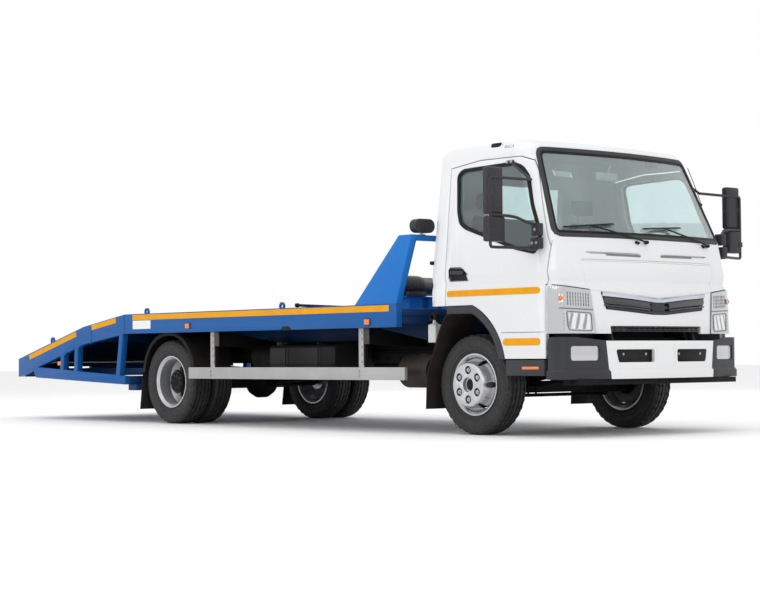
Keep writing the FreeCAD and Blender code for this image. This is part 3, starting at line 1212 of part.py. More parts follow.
    node("hood_panel", made("hood_panel", hood))
    size.add({
        "grille_bar": 30, "grille_proud": 6, "grille_inset": 6, "slat_gap": 12, "slat_pitch": 40,
        "slat_end": 40,
    })
    back = cab_form(v(size.panel_wall) - 1)
    bar_drop = v(size.grille_bar)
    bar_zone = swept(grown([(-600, 1063), (0, 1017), (600, 1063), (600, 1063 - bar_drop),
                            (0, 1017 - bar_drop), (-600, 1063 - bar_drop)], -0.01), "x", 3300, 600)
    bar = cab_form(-v(size.grille_proud)).cut(back).common(grille_body).common(bar_zone)
    slats = cab_form(v(size.grille_inset)).cut(back).common(grille_body)
    for number in range(2):
        drop = bar_drop + 16 + v(size.slat_pitch) * number
        for sign in (-1, 1):
            end = 560 - v(size.slat_end) * number
            upper = [(sign * end, 1062 - drop - 3), (sign * 70, 1022 - drop)]
            lower = [(y, z - v(size.slat_gap)) for y, z in reversed(upper)]
            slats = slats.cut(swept(grown(upper + lower, -0.01), "x", 3300, 600))
    grille = bar.fuse(slats).removeSplitter()
    intake = swept(grown([(-497, 770), (497, 770), (503, v(size.panel_notch_top) - v(size.seat_gap)),
                          (-503, v(size.panel_notch_top) - v(size.seat_gap))], -0.01), "x", 3300, 600)
    intake_hole = swept(grown([(-330, 780), (330, 780), (340, 799), (-340, 799)], -0.01), "x", 3300, 600)
    frame = cab_form(10).cut(cab_form(36)).common(intake).cut(intake_hole)
    node("grille", made("grille", Part.makeCompound(grille.Solids + frame.Solids)))
    lamp = cab_form(-v(size.lamp_proud)).cut(cab_form(70)).common(lamp_body)
    lamp_left = lamp.mirror(Vector(), Vector(0, 1, 0))
    node("headlamps", made("headlamps", Part.makeCompound(lamp.Solids + lamp_left.Solids)))

    low = v(size.dash_bottom)
    dash_profile = prism([(3250, low), (3200, low + 50), (3200, 1330), (3290, 1420), (3650, 1430),
                          (3650, low)], "y", -far, far * 2)
    dash_sides = Part.makeBox(2000, v(size.dash_half) * 2, 2000, Vector(2000, -v(size.dash_half), 0))
    dash = cab_form(v(size.wall) + v(size.seat_gap)).common(dash_profile).common(dash_sides)
    size.add({
        "column_x": 3240, "column_y": 520, "column_z": 1250, "column_length": 260, "column_radius": 22,
        "wheel_radius": 190, "wheel_grip": 13,
    })
    lean = Vector(-0.45, 0, 0.89)
    lean.normalize()
    foot = Vector(v(size.column_x), v(size.column_y), v(size.column_z))
    column = Part.makeCylinder(v(size.column_radius), v(size.column_length), foot, lean)
    wheel_centre = foot + lean * v(size.column_length)
    grip, wheel_radius = v(size.wheel_grip), v(size.wheel_radius)
    section = []
    for number in range(7):
        angle = math.radians(60 * number)
        section.append(wheel_centre + Vector(0, wheel_radius + grip * math.cos(angle), 0)
                       + lean * (grip * math.sin(angle)))
    ring = Part.Face(Part.makePolygon(section)).revolve(wheel_centre, lean, 360)
    spoke = Part.makeBox(24, wheel_radius * 2 - 10, 16, Vector(-12, 5 - wheel_radius, -8))
    spoke.Placement = FreeCAD.Placement(wheel_centre, FreeCAD.Rotation(Vector(0, 0, 1), lean))
    node("dashboard", made("dashboard", dash.fuse([column, ring, spoke]).removeSplitter()))


def cab_floor(behind_panel):
    """Floor plate over the engine, step wells at the doors, wheelhouse fronts and the tilt arms."""
    v = float
    size.add({
        "well_side_gap": 34, "well_front_step": 45, "floor_z": 985, "floor_plate": 20,
        "well_inner": 520, "well_bottom": 584,
        "pivot_x": 3660, "pivot_z": 650, "arm_y": 455, "arm_width": 24,
        "arm_eye": 24, "pivot_pin_radius": 15,
    })
    top = v(size.floor_z) + v(size.floor_plate)
    wide = v(size.cab_half_width) - v(size.wall) - v(size.well_side_gap)
    inner = v(size.well_inner)
    front_x = v(size.door_front_x)
    deck = Part.makeBox(1500, inner * 2, v(size.floor_plate), Vector(2256, -inner, v(size.floor_z)))
    deck = deck.common(behind_panel)
    side_pieces = []
    for sign in (-1, 1):
        start = -wide if sign < 0 else inner
        shelf = prism([(2256, v(size.floor_z)), (2256, top), (2775, top), (2985, 860, "arc"), (3118, 604),
                       (front_x - 20, 604), (front_x - 20, v(size.well_bottom)), (3104, v(size.well_bottom)),
                       (2968, 845, "arc"), (2768, v(size.floor_z))], "y", start, wide - inner)
        side_pieces.append(shelf)
        bottom = v(size.well_bottom)
        side_y = -inner - 12 if sign < 0 else inner
        side_pieces.append(Part.makeBox(front_x - 20 - 2800, 12, top - bottom, Vector(2800, side_y, bottom)))
        front_wide = wide - v(size.well_front_step)
        front_start = -front_wide if sign < 0 else inner
        side_pieces.append(Part.makeBox(12, front_wide - inner, v(size.dash_bottom) - bottom,
                                        Vector(front_x - 20, front_start, bottom)))
        side_pieces.append(Part.makeBox(3590 - front_x + 20, 12, v(size.dash_bottom) - v(size.floor_z),
                                        Vector(front_x - 20, side_y, v(size.floor_z))))
    arch = prism([(2000, 300), (2000, v(size.floor_z)), (v(size.arch_flat_end_x), v(size.floor_z)),
                  (2954, 856, "arc"), (3101, 579), (3101, 300)], "y", -1300, 2600)
    shape = deck.fuse(side_pieces).cut(arch)
    arms = []
    arm_profile = [(3575, top), (3470, top), (3470, v(size.floor_z)), (3528, 900),
                   (v(size.pivot_x) - 58, v(size.pivot_z) + 40), (v(size.pivot_x) - 20, v(size.pivot_z) - 12),
                   (v(size.pivot_x) + 16, v(size.pivot_z) + 16), (v(size.pivot_x) - 14, v(size.pivot_z) + 60),
                   (3590, 900)]
    for sign in (-1, 1):
        start = -v(size.arm_y) - v(size.arm_width) if sign < 0 else v(size.arm_y)
        arm = prism(arm_profile, "y", start, v(size.arm_width))
        eye = Part.makeCylinder(v(size.arm_eye), v(size.arm_width),
                                Vector(v(size.pivot_x), start, v(size.pivot_z)), Vector(0, 1, 0))
        bore = Part.makeCylinder(v(size.pivot_pin_radius), v(size.arm_width),
                                 Vector(v(size.pivot_x), start, v(size.pivot_z)), Vector(0, 1, 0))
        arms.append(arm.fuse(eye).cut(bore))
    return shape.fuse(arms)


def bumper_form(low, high, inset, rear_x):
    """The bumper's outer form, shrunk by an inset: a lower band, a ledge and the upper face behind it."""
    v = float
    step = v(size.ledge_step)
    ledge = v(size.ledge_z)
    rows = ((low, inset), (ledge, inset), (ledge + step, inset + step), (high, inset + step))
    wires = [cab_section(z, rear_x - back, v(size.bumper_front_x), v(size.bumper_half), v(size.bumper_corner),
                         v(size.bumper_rear_corner), back) for z, back in rows]
    return Part.makeLoft(wires, True, True)


def fog_outline(sign, inset):
    v = float
    inner, outer = v(size.fog_inner) + inset, v(size.fog_outer) - inset
    bottom, top = v(size.fog_bottom) + inset, v(size.fog_top) - inset
    return [(sign * inner, bottom), (sign * outer, bottom), (sign * outer, top), (sign * inner, top)]


def bumper():
    v = float
    size.add({
        "bumper_front_x": 3775, "bumper_half": 1046, "bumper_corner": 130, "bumper_rear_x": 3515,
        "bumper_wall": 29, "bumper_bottom": 425, "bumper_top": 703, "bumper_end_top": 731,
        "bumper_joint_top": 626, "bumper_joint_bottom": 566, "bumper_seam": 1.2, "fog_inner": 669,
        "fog_outer": 924, "fog_bottom": 557, "fog_top": 669, "slot_outer_top": 523,
        "slot_outer_bottom": 497, "slot_inner": 130, "slot_bottom": 545, "slot_top": 640,
        "slot_round": 16, "fog_round": 26, "ledge_z": 480, "ledge_step": 16, "bumper_rear_corner": 12,
        "plate_half": 98, "plate_low": 518, "plate_pocket": 3,
    })
    low = v(size.bumper_bottom)
    high = v(size.bumper_end_top)
    rear_x = v(size.bumper_rear_x)
    wall = v(size.bumper_wall)
    form = bumper_form(low, high, 0, rear_x)
    shell = form.cut(bumper_form(low - 50, high + 50, wall, rear_x - 100))
    room = bumper_form(low - 50, high + 50, wall + v(size.seat_gap), rear_x - 100)
    low_y = v(size.bumper_joint_top) - 20
    top_slope = prism([(-2000, high + 50), (-2000, high), (-880, high), (-low_y, v(size.bumper_top)),
                       (low_y, v(size.bumper_top)), (880, high), (2000, high), (2000, high + 50)],
                      "x", 3400, 500)
    shell = shell.cut(top_slope)
    front = v(size.bumper_front_x)
    nose = prism([(front + 10, 640), (front + 10, 800), (front - 97, 800), (front - 32, v(size.bumper_top))],
                 "y", -1300, 2600)
    shell = shell.cut(nose)
    rear_corner = prism([(rear_x - 15, high + 29), (rear_x + 44, high + 29), (rear_x + 44, high),
                         (rear_x + 14, high - 14, "arc"), (rear_x, high - 44), (rear_x - 15, high - 44)],
                        "y", -1300, 2600)
    shell = shell.cut(rear_corner)
    joint = [(-v(size.bumper_joint_bottom), 300), (v(size.bumper_joint_bottom), 300),
             (v(size.bumper_joint_top), 800), (-v(size.bumper_joint_top), 800)]
    centre = shell.common(swept(grown(joint, -0.01), "x", 3400, 500))
    ends = shell.cut(swept(grown(joint, v(size.bumper_seam) / 3), "x", 3400, 500))
    slots = []
    for sign in (-1, 1):
        slots.append(swept(rounded([(sign * a, b) for a, b in (
            (v(size.slot_inner), v(size.slot_bottom)), (v(size.slot_outer_bottom), v(size.slot_bottom)),
            (v(size.slot_outer_top), v(size.slot_top)), (v(size.slot_inner), v(size.slot_top)))],
            v(size.slot_round)), "x", 3400, 500))
        ends = ends.cut(swept(rounded(fog_outline(sign, 0), v(size.fog_round)), "x", 3400, 500))
    plate = swept(rounded([(-v(size.plate_half), v(size.plate_low)), (v(size.plate_half), v(size.plate_low)),
                           (v(size.plate_half), high), (-v(size.plate_half), high)], v(size.slot_round)),
                  "x", 3400, 500)
    pocket = form.cut(bumper_form(low, high, v(size.plate_pocket), rear_x)).common(plate)
    centre = centre.cut(slots[0]).cut(slots[1]).cut(pocket)
    node("bumper_centre", made("bumper_centre", centre))
    node("bumper_ends", made("bumper_ends", Part.makeCompound(ends.Solids)))
    lens = bumper_form(low, high, 10, rear_x).cut(bumper_form(low, high, 40, rear_x))
    lamps = []
    for sign in (-1, 1):
        zone = swept(rounded(fog_outline(sign, v(size.seat_gap)), v(size.fog_round)), "x", 3450, 400)
        front_only = Part.makeBox(300, 3000, 400, Vector(rear_x + 45, -1500, 400))
        lamps += lens.common(zone).common(front_only).Solids
    node("fog_lamps", made("fog_lamps", Part.makeCompound(lamps)))

    size.add({
        "underrun_bottom": 383, "underrun_depth": 52, "underrun_half": 910, "underrun_x": 3560,
        "underrun_width": 70,
    })
    bar = block("underrun_bar", (size.underrun_width, size.underrun_half * 2, size.underrun_depth - 10),
                (size.underrun_x, -size.underrun_half, size.underrun_bottom))
    lip = block("underrun_lip", (150, size.underrun_half * 2 - 40, 40),
                (size.underrun_x, -size.underrun_half + 20, size.underrun_bottom))
    legs = []
    rail_bottom = size.rail_top - size.rail_depth
    for name, y in (("right", -size.rail_outer), ("left", size.rail_outer - 40)):
        legs.append(block("underrun_leg_" + name, (60, 40, rail_bottom - size.underrun_bottom),
                          (size.rail_front_x - 65, y, size.underrun_bottom)))
    carriers = []
    size.add({"carrier_z": 455, "carrier_depth": 50})
    carriers.append(block("bumper_carrier", (50, 1900, size.carrier_depth), (3520, -950, size.carrier_z)))
    for number, y in enumerate((-700, -300, 260, 660)):
        strut = Part.makeBox(220, 40, 40, Vector(3560, y, v(size.carrier_z)))
        carriers.append(made("bumper_strut_" + str(number), strut.common(room)))
    pins = []
    for sign, name in ((-1, "right"), (1, "left")):
        ear = size.rail_outer - size.rail_wall
        reach = size.arm_y + size.arm_width + 6
        start = -reach if sign < 0 else ear - 20
        pins.append(rod("cab_pin_" + name, size.pivot_pin_radius - size.running_gap, reach - ear + 20,
                        (size.pivot_x, start, size.pivot_z), "y"))
        ear_y = -ear if sign < 0 else ear - 20
        pins.append(block("cab_ear_" + name, (size.pivot_x + 24 - size.rail_front_x + 45, 20, 60),
                          (size.rail_front_x - 45, ear_y, size.pivot_z - 30)))
    node("front_underrun", joined("front_underrun", [bar, lip] + legs + carriers + pins))

    size.add({
        "step_rear_x": 3105, "step_front_x": 3495, "step_top": 568, "step_bottom": 452,
        "step_outer": 1040, "step_depth": 180,
    })
    step_length = size.step_front_x - size.step_rear_x
    step = block("step_panel", (step_length, size.step_depth, size.step_top - size.step_bottom),
                 (size.step_rear_x, -size.step_outer, size.step_bottom))
    arm = block("step_arm", (60, size.step_outer - size.step_depth - size.rail_outer + 10, 50),
                (size.step_front_x - 70, -size.step_outer + size.step_depth - 10, size.step_top - 60))
    right = joined("step_right", [step, arm])
    node("step_panels", both_sides("step_panels", right))


def mirrors():
    """Two heads on each door, on a frame of bent tube."""
    v = float
    size.add({
        "mirror_y": 1363, "mirror_width": 156, "mirror_rear_x": 3275, "mirror_depth": 70,
        "big_mirror_bottom": 1616, "big_mirror_top": 1957, "small_mirror_bottom": 1418,
        "small_mirror_top": 1600, "tube_radius": 11, "tube_x": 3352, "tube_y": 1432,
    })
    heads = []
    for name, low, high, deep in (
            ("big", size.big_mirror_bottom, size.big_mirror_top, size.mirror_depth),
            ("small", size.small_mirror_bottom, size.small_mirror_top, size.mirror_depth + 20)):
        heads.append(profile(name + "_mirror_head", "XY_Plane", [
            (size.mirror_rear_x, -size.mirror_y - size.mirror_width / 2),
            (size.mirror_rear_x, -size.mirror_y + size.mirror_width / 2),
            (size.mirror_rear_x + deep, -size.mirror_y + size.mirror_width / 2),
            (size.mirror_rear_x + deep, -size.mirror_y - size.mirror_width / 2)],
            high - low, offset=low, rounds=[(30, (2, 3))]))
    radius = v(size.tube_radius)
    tube_x, tube_y = v(size.tube_x), -v(size.tube_y)
    runs = [
        [(tube_x, tube_y, 1376), (tube_x, tube_y, 1880)],
        [(tube_x, tube_y, 1880), (3312, -966, 1888)],
        [(tube_x, tube_y, 1376), (3440, -1075, 1376)],
        [(tube_x, tube_y, 1609), (3380, -1180, 1600), (3440, -1075, 1548)],
        [(3312, -966, 1888), (3090, -956, 2040)],
    ]
    tubes = []
    for run in runs:
        for one, two in zip(run, run[1:]):
            start, end = Vector(*one), Vector(*two)
            tubes.append(Part.makeCylinder(radius, (end - start).Length, start, end - start))
            tubes.append(Part.makeSphere(radius, start))
        tubes.append(Part.makeSphere(radius, Vector(*run[-1])))
    bracket = Part.makeBox(90, 60, 190, Vector(3405, -1085, 1368))
    foot = Part.makeBox(60, 22, 26, Vector(3050, -962, 2026))
    doc.recompute()
    door = [thing for thing in nodes if thing.Label == "door_right"][0].Shape
    frame = tubes[0]
    for tube in tubes[1:] + [bracket, foot] + [head.Shape for head in heads]:
        frame = frame.fuse(tube)
    right = made("mirrors_right", frame.cut(door))
    node("mirrors_right", right)
    node("mirrors_left", mirrored("mirrors_left", right))


def cab_fittings():
    size.add({
        "seat_y": 500, "seat_width": 480, "seat_bottom": 1005.3, "seat_top": 1250, "seat_rear_x": 2420,
        "seat_front_x": 2920, "back_top": 1900, "bench_width": 860, "bench_y": -420,
    })
    seats = []
    for name, middle, width in (("driver", size.seat_y, size.seat_width),
                                ("bench", size.bench_y, size.bench_width)):
        seats.append(profile(name + "_seat", "XZ_Plane", [
            (size.seat_front_x, size.seat_bottom), (size.seat_front_x, size.seat_top),
            (size.seat_rear_x + 160, size.seat_top - 20), (size.seat_rear_x + 60, size.back_top),
            (size.seat_rear_x - 40, size.back_top), (size.seat_rear_x, size.seat_bottom)],
            width, offset=-middle - width / 2, rounds=[(40, (1, 3, 4))]))
    node("seats", group("seats", seats))
    trims = []
    size.add({
        "trim_width": 62, "trim_gap": 6, "trim_inner": 930, "lip_outer": 978, "lip_lift": 3,
    })
    cab_shape = [thing for thing in nodes if thing.Label == "cab_shell"][0].Shape
    v = float
    bottom = v(size.door_bottom)
    arch = [(2300, 300), (2300, v(size.arch_top)), (v(size.arch_flat_end_x), v(size.arch_top)),
            (2954, 854, "arc"), (v(size.arch_foot_x), bottom), (v(size.arch_foot_x) + 60, 300)]
    band = grown(arch, -v(size.trim_gap)).cut(grown(arch, -v(size.trim_width)))
    lip = grown(arch, v(size.lip_lift)).cut(grown(arch, -v(size.trim_width) / 2))
    inner, outer_y = v(size.trim_inner), v(size.cab_half_width) + 3
    strip = swept(band, "y", -inner, inner - outer_y).fuse(swept(lip, "y", -inner, inner - v(size.lip_outer)))
    window = Part.makeBox(800, 400, v(size.floor_z) - bottom, Vector(2482, -1100, bottom))
    strip = strip.common(window).cut(cab_shape)
    strip_left = strip.mirror(Vector(), Vector(0, 1, 0))
    node("arch_trims", made("arch_trims", Part.makeCompound([strip, strip_left])))
    lamps = []
    roof_lamp = Part.makeBox(90, 60, 30, Vector(3005, -930, 2140))
    outer = cab_form(0)
    lamp = roof_lamp.cut(outer)
    lamps = [lamp, lamp.mirror(Vector(), Vector(0, 1, 0))]
    node("roof_lamps", made("roof_lamps", Part.makeCompound(lamps)))


chassis_frame()
drive_line()
axles_and_springs()
steering()
wheels()
deck_sides = deck()
headboard_and_winch()
ramps()
guards_and_mudguards()
tank_muffler_battery()
rings_and_lamps(deck_sides)
cab()
bumper()
mirrors()
cab_fittings()

doc.recompute()
for thing in doc.Objects:
    if "Invalid" in thing.State or "Error" in thing.State:
        raise RuntimeError(thing.Name + " was not rebuilt")
for thing in nodes:
    if thing.Shape.isNull() or not thing.Shape.isValid() or not thing.Shape.Solids:
        raise RuntimeError(thing.Label + " is not a valid solid")
os.makedirs("parts", exist_ok=True)
for thing in nodes:
    thing.Shape.exportStep("parts/" + thing.Label + ".step")
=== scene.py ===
import json
import math

import bpy
from mathutils import Matrix, Vector

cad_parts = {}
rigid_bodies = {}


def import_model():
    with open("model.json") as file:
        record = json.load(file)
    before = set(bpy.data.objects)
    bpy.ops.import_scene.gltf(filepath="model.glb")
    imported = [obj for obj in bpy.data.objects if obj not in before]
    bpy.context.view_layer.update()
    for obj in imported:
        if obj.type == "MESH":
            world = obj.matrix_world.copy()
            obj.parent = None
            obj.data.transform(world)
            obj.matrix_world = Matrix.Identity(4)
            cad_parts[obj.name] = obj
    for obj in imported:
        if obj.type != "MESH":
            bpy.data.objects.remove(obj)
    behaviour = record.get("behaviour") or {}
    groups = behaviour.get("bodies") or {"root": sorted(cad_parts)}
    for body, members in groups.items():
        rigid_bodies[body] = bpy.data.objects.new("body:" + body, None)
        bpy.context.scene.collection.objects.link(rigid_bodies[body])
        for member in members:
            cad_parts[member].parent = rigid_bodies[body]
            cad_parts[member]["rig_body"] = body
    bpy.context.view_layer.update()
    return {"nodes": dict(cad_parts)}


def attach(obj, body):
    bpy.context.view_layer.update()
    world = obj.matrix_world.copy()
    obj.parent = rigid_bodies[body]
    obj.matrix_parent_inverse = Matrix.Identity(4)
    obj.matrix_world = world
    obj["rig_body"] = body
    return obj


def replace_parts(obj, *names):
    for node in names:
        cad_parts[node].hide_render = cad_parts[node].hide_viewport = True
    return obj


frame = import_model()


# Studio: a pale floor under plain soft light, with a camera low beside the front right corner.
# The camera's place, turns and lens are solved from the truck's own sizes.
def new_finish(name, plain=None):
    """A material with plain values for some of its shader's inputs, and with Object coordinates."""
    finish = bpy.data.materials.new(name)
    finish.use_nodes = True
    nodes = finish.node_tree.nodes
    nodes.new("ShaderNodeTexCoord").name = "place"
    for label, value in (plain or {}).items():
        nodes["Principled BSDF"].inputs[label].default_value = value
    return finish


def new_object(name, data):
    """An object in the scene that shows this data."""
    made = bpy.data.objects.new(name, data)
    bpy.context.collection.objects.link(made)
    return made


camera_place = Matrix.Translation((12.54, -10.496, 0.612))
camera_turn, camera_rise, camera_roll = 48.892, 1.9, -0.442
for degrees, axis in ((camera_turn, "Z"), (90 + camera_rise, "X"), (camera_roll, "Z")):
    camera_place = camera_place @ Matrix.Rotation(math.radians(degrees), 4, axis)
lens = bpy.data.cameras.new("camera")
lens.sensor_width = 36
lens.lens = 85.71
lens.clip_end = 200
camera = new_object("camera", lens)
camera.matrix_world = camera_place
bpy.context.scene.camera = camera
bpy.context.scene.view_settings.view_transform = "Standard"

bpy.ops.object.select_all(action="DESELECT")
bpy.ops.mesh.primitive_plane_add(size=120)
floor = bpy.context.object
floor.name = "floor"
floor_white = new_finish("floor_white", {"Base Color": (0.96, 0.96, 0.96, 1), "Roughness": 0.9})
floor.data.materials.append(floor_white)

sky = bpy.data.worlds.new("sky")
sky.use_nodes = True
bpy.context.scene.world = sky
sky_nodes = sky.node_tree.nodes
backdrop, seen_white = sky_nodes["Background"], sky_nodes.new("ShaderNodeBackground")
for light, colour, strength in ((backdrop, (0.98, 0.98, 0.985, 1), 0.92), (seen_white, (1, 1, 1, 1), 1.0)):
    light.inputs["Color"].default_value = colour
    light.inputs["Strength"].default_value = strength
ray, sky_mix = sky_nodes.new("ShaderNodeLightPath"), sky_nodes.new("ShaderNodeMixShader")
seen_or_glossy, seen_or_clear = sky_nodes.new("ShaderNodeMath"), sky_nodes.new("ShaderNodeMath")
seen_or_glossy.operation = seen_or_clear.operation = "MAXIMUM"
for source, target in ((ray.outputs["Is Camera Ray"], seen_or_glossy.inputs[0]),
                       (ray.outputs["Is Glossy Ray"], seen_or_glossy.inputs[1]),
                       (seen_or_glossy.outputs[0], seen_or_clear.inputs[0]),
                       (ray.outputs["Is Transmission Ray"], seen_or_clear.inputs[1]),
                       (seen_or_clear.outputs[0], sky_mix.inputs["Fac"]),
                       (backdrop.outputs[0], sky_mix.inputs[1]),
                       (seen_white.outputs[0], sky_mix.inputs[2]),
                       (sky_mix.outputs[0], sky_nodes["World Output"].inputs["Surface"])):
    sky.node_tree.links.new(source, target)


def soft_lamp(name, place, towards, size, power):
    """A large square lamp that points at a spot."""
    data = bpy.data.lights.new(name, "AREA")
    data.size = size
    data.energy = power
    lamp = new_object(name, data)
    lamp.location = place
    lamp.rotation_euler = (Vector(towards) - Vector(place)).to_track_quat("-Z", "Y").to_euler()


soft_lamp("lamp_above", (2, -3, 11), (0, 0, 0.8), 12, 370)
soft_lamp("lamp_front_right", (13, -6, 6), (2.5, 0, 1.2), 6, 150)
soft_lamp("lamp_side", (-3, -14, 5), (-1, 0, 0.8), 8, 190)
soft_lamp("lamp_back", (-8, 10, 6), (0, 0, 0.8), 7, 120)


# Chassis ladder: two pressed channel rails with cross members, riveted and sprayed black all over.
# Axles, springs, shaft and steering share the paint, with road dust lying where water runs off.
def fed(finish, kind, source=None, values=None):
    """A new node of a finish; its first input takes a source, or the place on the object."""
    tree = finish.node_tree
    node = tree.nodes.new("ShaderNode" + kind)
    for label, value in (values or {}).items():
        node.inputs[label].default_value = value
    tree.links.new(tree.nodes["place"].outputs["Object"] if source is None else source, node.inputs[0])
    return node


def noise(finish, scale, detail=3.0, rough=0.5, source=None):
    values = {"Scale": scale, "Detail": detail, "Roughness": rough}
    return fed(finish, "TexNoise", source, values).outputs["Fac"]


def ramp(finish, source, *stops):
    """A colour ramp with (place, colour) stops; a number stands for a grey."""
    steps = fed(finish, "ValToRGB", source)
    band = steps.color_ramp
    for number, (place, tone) in enumerate(stops):
        stop = band.elements[number] if number < 2 else band.elements.new(place)
        stop.position = place
        stop.color = (tone, tone, tone, 1) if isinstance(tone, (int, float)) else (*tone, 1)
    return steps.outputs["Color"]


def driven(finish, label, source, *stops):
    """Drive one input of the shader by a ramp over a source, or over noise with these settings."""
    if isinstance(source, tuple):
        source = noise(finish, *source)
    tree = finish.node_tree
    tree.links.new(ramp(finish, source, *stops), tree.nodes["Principled BSDF"].inputs[label])


def bumped(finish, height, strength, depth):
    tree = finish.node_tree
    bump = tree.nodes.new("ShaderNodeBump")
    bump.inputs["Strength"].default_value = strength
    bump.inputs["Distance"].default_value = depth
    tree.links.new(height, bump.inputs["Height"])
    tree.links.new(bump.outputs["Normal"], tree.nodes["Principled BSDF"].inputs["Normal"])


def sprayed(name, colour, worn, rough, coat=0.0, metal=0.0, broad=1.6, fine=260, bump=0.06, shine=0.5):
    """Sprayed paint: a broad change of tone, uneven gloss and a fine orange-peel bump."""
    if sum(colour) < 0.15:
        shine = 0.12 if sum(colour) < 0.04 else 0.3
    finish = new_finish(name, {"Metallic": metal, "Coat Weight": coat, "Coat Roughness": 0.06,
                               "Specular IOR Level": shine})
    driven(finish, "Base Color", (broad, 6, 0.6), (0.3, colour), (0.72, worn))
    driven(finish, "Roughness", (broad * 7, 5, 0.6), (0.25, rough * 0.94), (0.8, min(1.0, rough * 1.1)))
    bumped(finish, noise(finish, fine, 2), bump, 0.0006)
    return finish


def only(piece):
    """Make this object the single selected and active one."""
    bpy.ops.object.select_all(action="DESELECT")
    piece.select_set(True)
    bpy.context.view_layer.objects.active = piece


def apply_all(piece):
    only(piece)
    for modifier in list(piece.modifiers):
        bpy.ops.object.modifier_apply(modifier=modifier.name)


def add_rounding(piece, edge, segments, angle):
    rounding = piece.modifiers.new("edges", "BEVEL")
    rounding.width = edge
    rounding.segments = segments
    rounding.limit_method = "ANGLE"
    rounding.angle_limit = math.radians(angle)


def finished(piece, finish, body, edge, segments, angle):
    """Round a piece's edges, shade it smooth below an angle, and give it its finish and body."""
    if edge:
        add_rounding(piece, edge, segments, angle)
    apply_all(piece)
    bpy.ops.object.shade_smooth_by_angle(angle=math.radians(angle))
    piece.data.materials.clear()
    piece.data.materials.append(finish)
    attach(piece, body)
    return piece


def dressed(node, finish, edge=0.003, segments=2, angle=30):
    """A welded copy of a part with its edges rounded, which is shown in the part's place."""
    source = frame["nodes"][node]
    piece = new_object(node + "_finished", source.data.copy())
    only(piece)
    bpy.ops.mesh.customdata_custom_splitnormals_clear()
    bpy.ops.object.mode_set(mode="EDIT")
    bpy.ops.mesh.select_all(action="SELECT")
    bpy.ops.mesh.remove_doubles(threshold=0.00002)
    bpy.ops.mesh.dissolve_limited(angle_limit=math.radians(0.4))
    bpy.ops.object.mode_set(mode="OBJECT")
    finished(piece, finish, source.get("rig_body"), edge, segments, angle)
    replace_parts(piece, node)
    return piece


def joined(pieces):
    """Join several pieces into the first."""
    only(pieces[0])
    for piece in pieces[1:]:
        piece.select_set(True)
    if len(pieces) > 1:
        bpy.ops.object.join()
    return pieces[0]


def settled(pieces, name, finish, body, edge=0.002, segments=2, angle=35):
    """Join new pieces, turn their faces outwards, and finish them as one."""
    piece = joined(pieces)
    piece.name = name
    bpy.ops.object.transform_apply()
    bpy.ops.object.mode_set(mode="EDIT")
    bpy.ops.mesh.select_all(action="SELECT")
    bpy.ops.mesh.normals_make_consistent()
    bpy.ops.object.mode_set(mode="OBJECT")
    return finished(piece, finish, body, edge, segments, angle)


def block(low, high):
    """A bar between two corners, to be shaped further."""
    bpy.ops.object.select_all(action="DESELECT")
    bpy.ops.mesh.primitive_cube_add(size=1, location=[(a + b) / 2 for a, b in zip(low, high)])
    piece = bpy.context.object
    piece.scale = [b - a for a, b in zip(low, high)]
    bpy.ops.object.transform_apply()
    return piece


def round_bar(start, end, radius, sides=24, tip=None):
    """A round bar between two points, narrowed towards its end where a tip radius is given."""
    bpy.ops.object.select_all(action="DESELECT")
    start, end = Vector(start), Vector(end)
    run = end - start
    bpy.ops.mesh.primitive_cone_add(vertices=sides, radius1=radius, radius2=radius if tip is None else tip,
                                    depth=run.length, location=(start + end) / 2,
                                    rotation=run.to_track_quat("Z", "Y").to_euler())
    piece = bpy.context.object
    bpy.ops.object.transform_apply()
    return piece


def copied(piece, turn):
    """A copy with its own mesh, moved by a matrix; a mirrored copy has its faces turned back."""
    other = new_object(piece.name + "_copy", piece.data.copy())
    other.data.transform(turn)
    if turn.determinant() < 0:
        other.data.flip_normals()
    return other


def bolts(name, spots, finish, body, across=0.022, tall=0.011):
    """Hexagon heads on washers: one is modelled, and the others are copies of it."""
    washer = round_bar((0, 0, 0), (0, 0, tall * 0.25), across * 0.78, 14)
    head = round_bar((0, 0, tall * 0.25), (0, 0, tall), across * 0.56, 6, across * 0.52)
    first = joined([washer, head])
    row = []
    for place, towards in spots:
        turn = Vector(towards).to_track_quat("Z", "Y").to_matrix().to_4x4()
        row.append(copied(first, Matrix.Translation(Vector(place)) @ turn))
    bpy.data.objects.remove(first)
    return settled(row, name, finish, body, 0.0006, 1)


chassis_black = sprayed("chassis_black", (0.006, 0.006, 0.007), (0.013, 0.012, 0.011), 0.62, bump=0.12)
for node in ("chassis_frame", "front_axle", "rear_axle", "leaf_springs", "propshaft", "knuckle_right",
             "knuckle_left", "tie_rod", "front_underrun", "engine_block", "radiator"):
    dressed(node, chassis_black, 0.0025)
zinc = sprayed("zinc", (0.52, 0.52, 0.5), (0.4, 0.4, 0.38), 0.35, metal=0.9, broad=20, bump=0.04)
rail_y, rivet_rows, rivet_step, rivet_count = 0.425, (0.575, 0.705), 0.152, 38
rivets = [((-2.4 + rivet_step * number, sign * rail_y, z), (0, sign, 0))
          for number in range(rivet_count) for sign in (-1, 1) for z in rivet_rows]
bolts("rail_rivets", rivets, chassis_black, "chassis", 0.026, 0.012)

